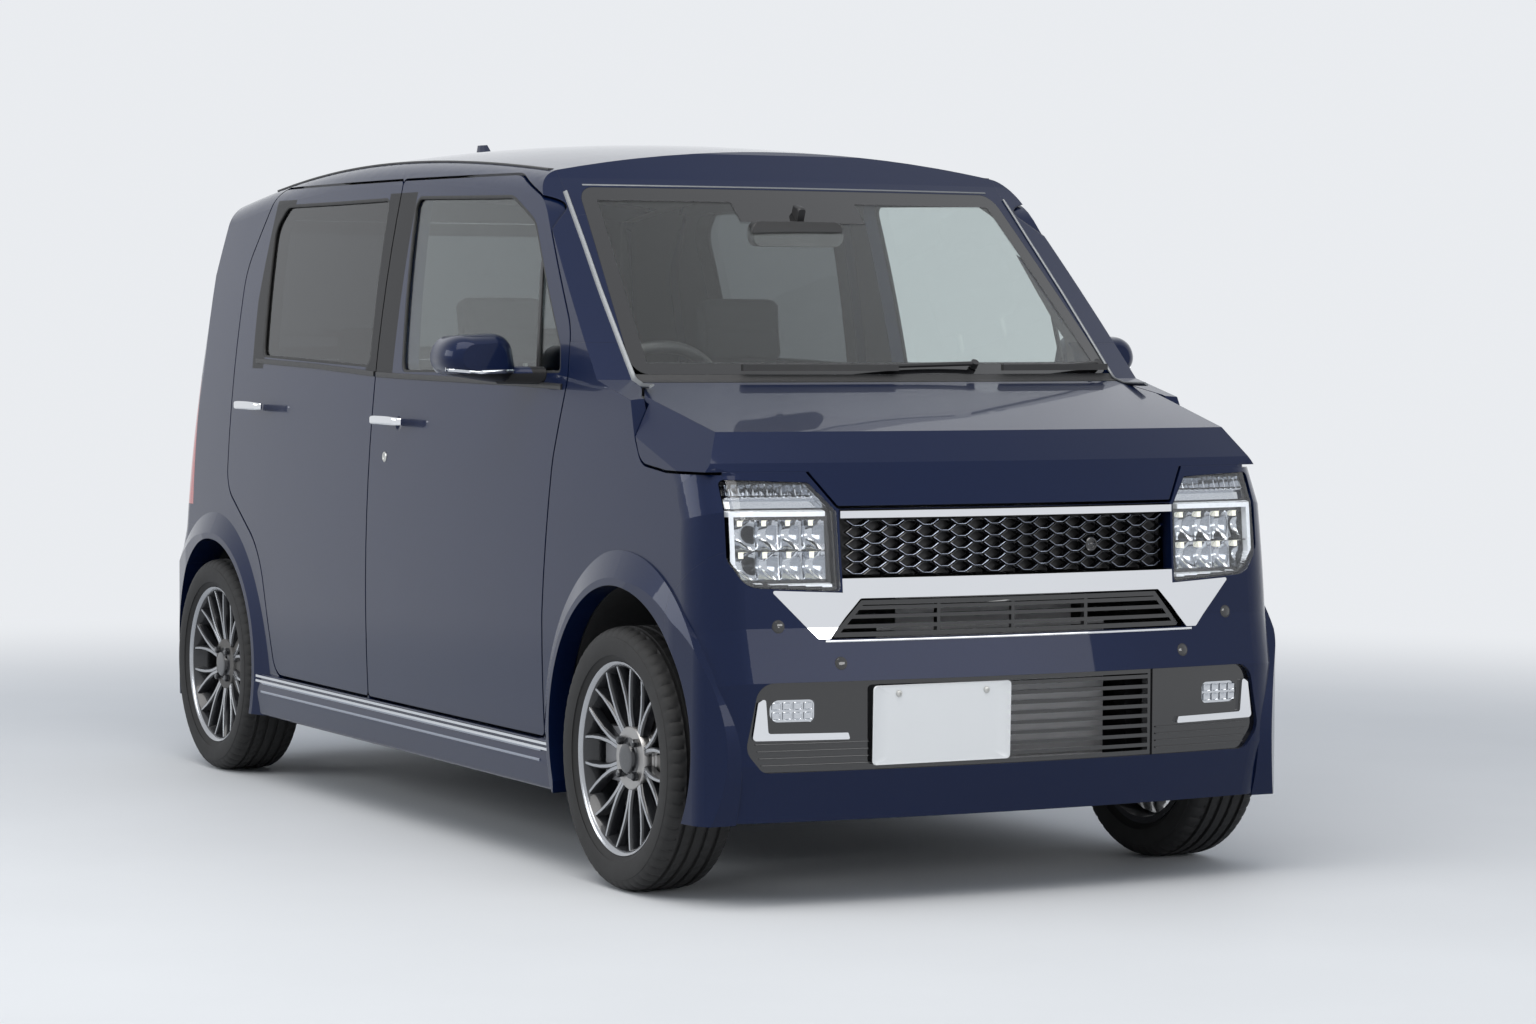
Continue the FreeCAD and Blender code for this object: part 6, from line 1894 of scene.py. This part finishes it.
@dataclass
class Studio:
    """Pale floor, soft lamps and the camera at the photograph's angle."""

    camera_place: tuple[float, float, float] = (-4.3759, -8.9624, 1.2279)
    pitch: float = -2.83
    roll: float = 0.31
    yaw: float = 27.44
    focal: float = 4043.4
    sky: tuple[float, float, float, float] = (0.80, 0.88, 1.0, 1.0)
    sky_strength: float = 0.50
    pale: tuple[float, float, float, float] = (0.82, 0.84, 0.87, 1.0)

    def camera(self) -> None:
        """Sets the camera: its axes come from the yaw and the pitch, then turn by the roll."""
        yaw, pitch, roll = (math.radians(angle) for angle in (self.yaw, self.pitch, self.roll))
        ahead = Vector((math.sin(yaw) * math.cos(pitch), math.cos(yaw) * math.cos(pitch), math.sin(pitch)))
        right = Vector((math.cos(yaw), -math.sin(yaw), 0))
        up = right.cross(ahead)
        level = right * math.cos(roll) + up * math.sin(roll)
        top = up * math.cos(roll) - right * math.sin(roll)
        data = bpy.data.cameras.new("photo_camera")
        data.sensor_width = 36.0
        data.lens = self.focal * 36.0 / 1536.0
        data.clip_end = 200.0
        camera = bpy.data.objects.new("photo_camera", data)
        turn = Matrix((level, top, -ahead)).transposed().to_4x4()
        camera.matrix_world = Matrix.Translation(self.camera_place) @ turn
        bpy.context.scene.collection.objects.link(camera)
        bpy.context.scene.camera = camera

    def lamp(self, name: str, place: tuple, aim: tuple, size: tuple, power: float, colour: tuple) -> None:
        """Adds a large soft lamp that looks at a point.

        Args:
            name: its name.
            place: where it hangs, in metres.
            aim: the point that it looks at.
            size: its width and height.
            power: its power in watts.
            colour: its colour.
        """
        data = bpy.data.lights.new(name, "AREA")
        data.shape = "RECTANGLE"
        data.size, data.size_y = size
        data.energy = power
        data.color = colour
        lamp = bpy.data.objects.new(name, data)
        lamp.location = place
        lamp.rotation_euler = (Vector(aim) - Vector(place)).to_track_quat("-Z", "Y").to_euler()
        bpy.context.scene.collection.objects.link(lamp)

    def world(self) -> None:
        """Sets the world: even light for surfaces, and a pale room for the eye, for gloss and for glass."""
        world = bpy.data.worlds.new("studio_world")
        bpy.context.scene.world = world
        world.use_nodes = True
        tree = world.node_tree
        tree.nodes.clear()
        output = tree.nodes.new("ShaderNodeOutputWorld")
        light = tree.nodes.new("ShaderNodeBackground")
        light.inputs[0].default_value = self.sky
        light.inputs[1].default_value = self.sky_strength
        room = tree.nodes.new("ShaderNodeBackground")
        room.inputs[0].default_value = self.pale
        room.inputs[1].default_value = 1.0
        path = tree.nodes.new("ShaderNodeLightPath")
        seen = tree.nodes.new("ShaderNodeMath")
        seen.operation = "MAXIMUM"
        tree.links.new(path.outputs["Is Camera Ray"], seen.inputs[0])
        tree.links.new(path.outputs["Is Transmission Ray"], seen.inputs[1])
        gloss = tree.nodes.new("ShaderNodeMath")
        gloss.operation = "MAXIMUM"
        tree.links.new(seen.outputs[0], gloss.inputs[0])
        tree.links.new(path.outputs["Is Glossy Ray"], gloss.inputs[1])
        mixed = tree.nodes.new("ShaderNodeMixShader")
        tree.links.new(gloss.outputs[0], mixed.inputs[0])
        tree.links.new(light.outputs[0], mixed.inputs[1])
        tree.links.new(room.outputs[0], mixed.inputs[2])
        tree.links.new(mixed.outputs[0], output.inputs[0])

    def floor(self) -> None:
        """Lays a wide pale floor."""
        board = Board("floor_pale")
        dust = board.noise(1.3, 4.0)
        colour = board.blend(dust, rgba((0.68, 0.69, 0.70)), rgba((0.74, 0.75, 0.76)))
        mesh = bpy.data.meshes.new("studio_floor")
        mesh.from_pydata([(-60, -60, 0), (60, -60, 0), (60, 60, 0), (-60, 60, 0)], [], [(0, 1, 2, 3)])
        across, along, _ = board.place()
        away = (across * across + along * along).maths("POWER", across * across + along * along, 0.5)
        near = board.principled(Base_Color=colour, Roughness=0.65)
        far = board.add("ShaderNodeEmission", inputs={0: self.pale, "Strength": 1.0}).outputs[0]
        mesh.materials.append(board.finish(board.either(away.rise(4.6, 1.9), near, far)))
        floor = bpy.data.objects.new("studio_floor", mesh)
        bpy.context.scene.collection.objects.link(floor)

    def build(self) -> None:
        """Builds the studio."""
        bpy.context.scene.view_settings.view_transform = "Standard"
        self.camera()
        self.world()
        self.floor()
        self.lamp("key_top", (-2.0, -2.5, 5.5), (0, 0, 0.8), (6.0, 4.0), 250.0, (1.0, 0.98, 0.95))
        self.lamp("side_right", (-6.5, 1.5, 3.0), (0, 0, 0.9), (5.0, 2.0), 120.0, (0.95, 0.98, 1.0))
        self.lamp("front_low", (2.5, -8.5, 2.6), (0, -1.5, 0.7), (5.0, 1.6), 90.0, (1.0, 1.0, 1.0))


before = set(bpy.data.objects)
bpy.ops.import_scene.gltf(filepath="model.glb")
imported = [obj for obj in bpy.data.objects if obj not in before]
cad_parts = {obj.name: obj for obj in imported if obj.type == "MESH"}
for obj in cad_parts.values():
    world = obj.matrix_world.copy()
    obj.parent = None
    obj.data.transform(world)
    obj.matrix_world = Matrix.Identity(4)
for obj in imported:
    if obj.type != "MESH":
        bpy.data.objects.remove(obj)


def main() -> None:
    """Builds the pieces in order."""
    logging.basicConfig(level=logging.INFO, format="%(message)s")
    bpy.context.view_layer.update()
    for part in (Studio(), Bodywork(), PlainFinishes(), SideTrim(), Headlamps(), Grille(), Wheels(), Seats(), Mirrors(),
                 RoofTrim(), NoseTrim(), CabinFittings(), RearTrim(), SideFittings()):
        part.build()
        LOG.info("%s done", type(part).__name__)
    plates = FrontPlate()
    plates.plate("plate_front", (-188.0, -1690.0, 377.0), "root", -1.0)
    clear_targets()


if __name__ == "__main__":
    main()
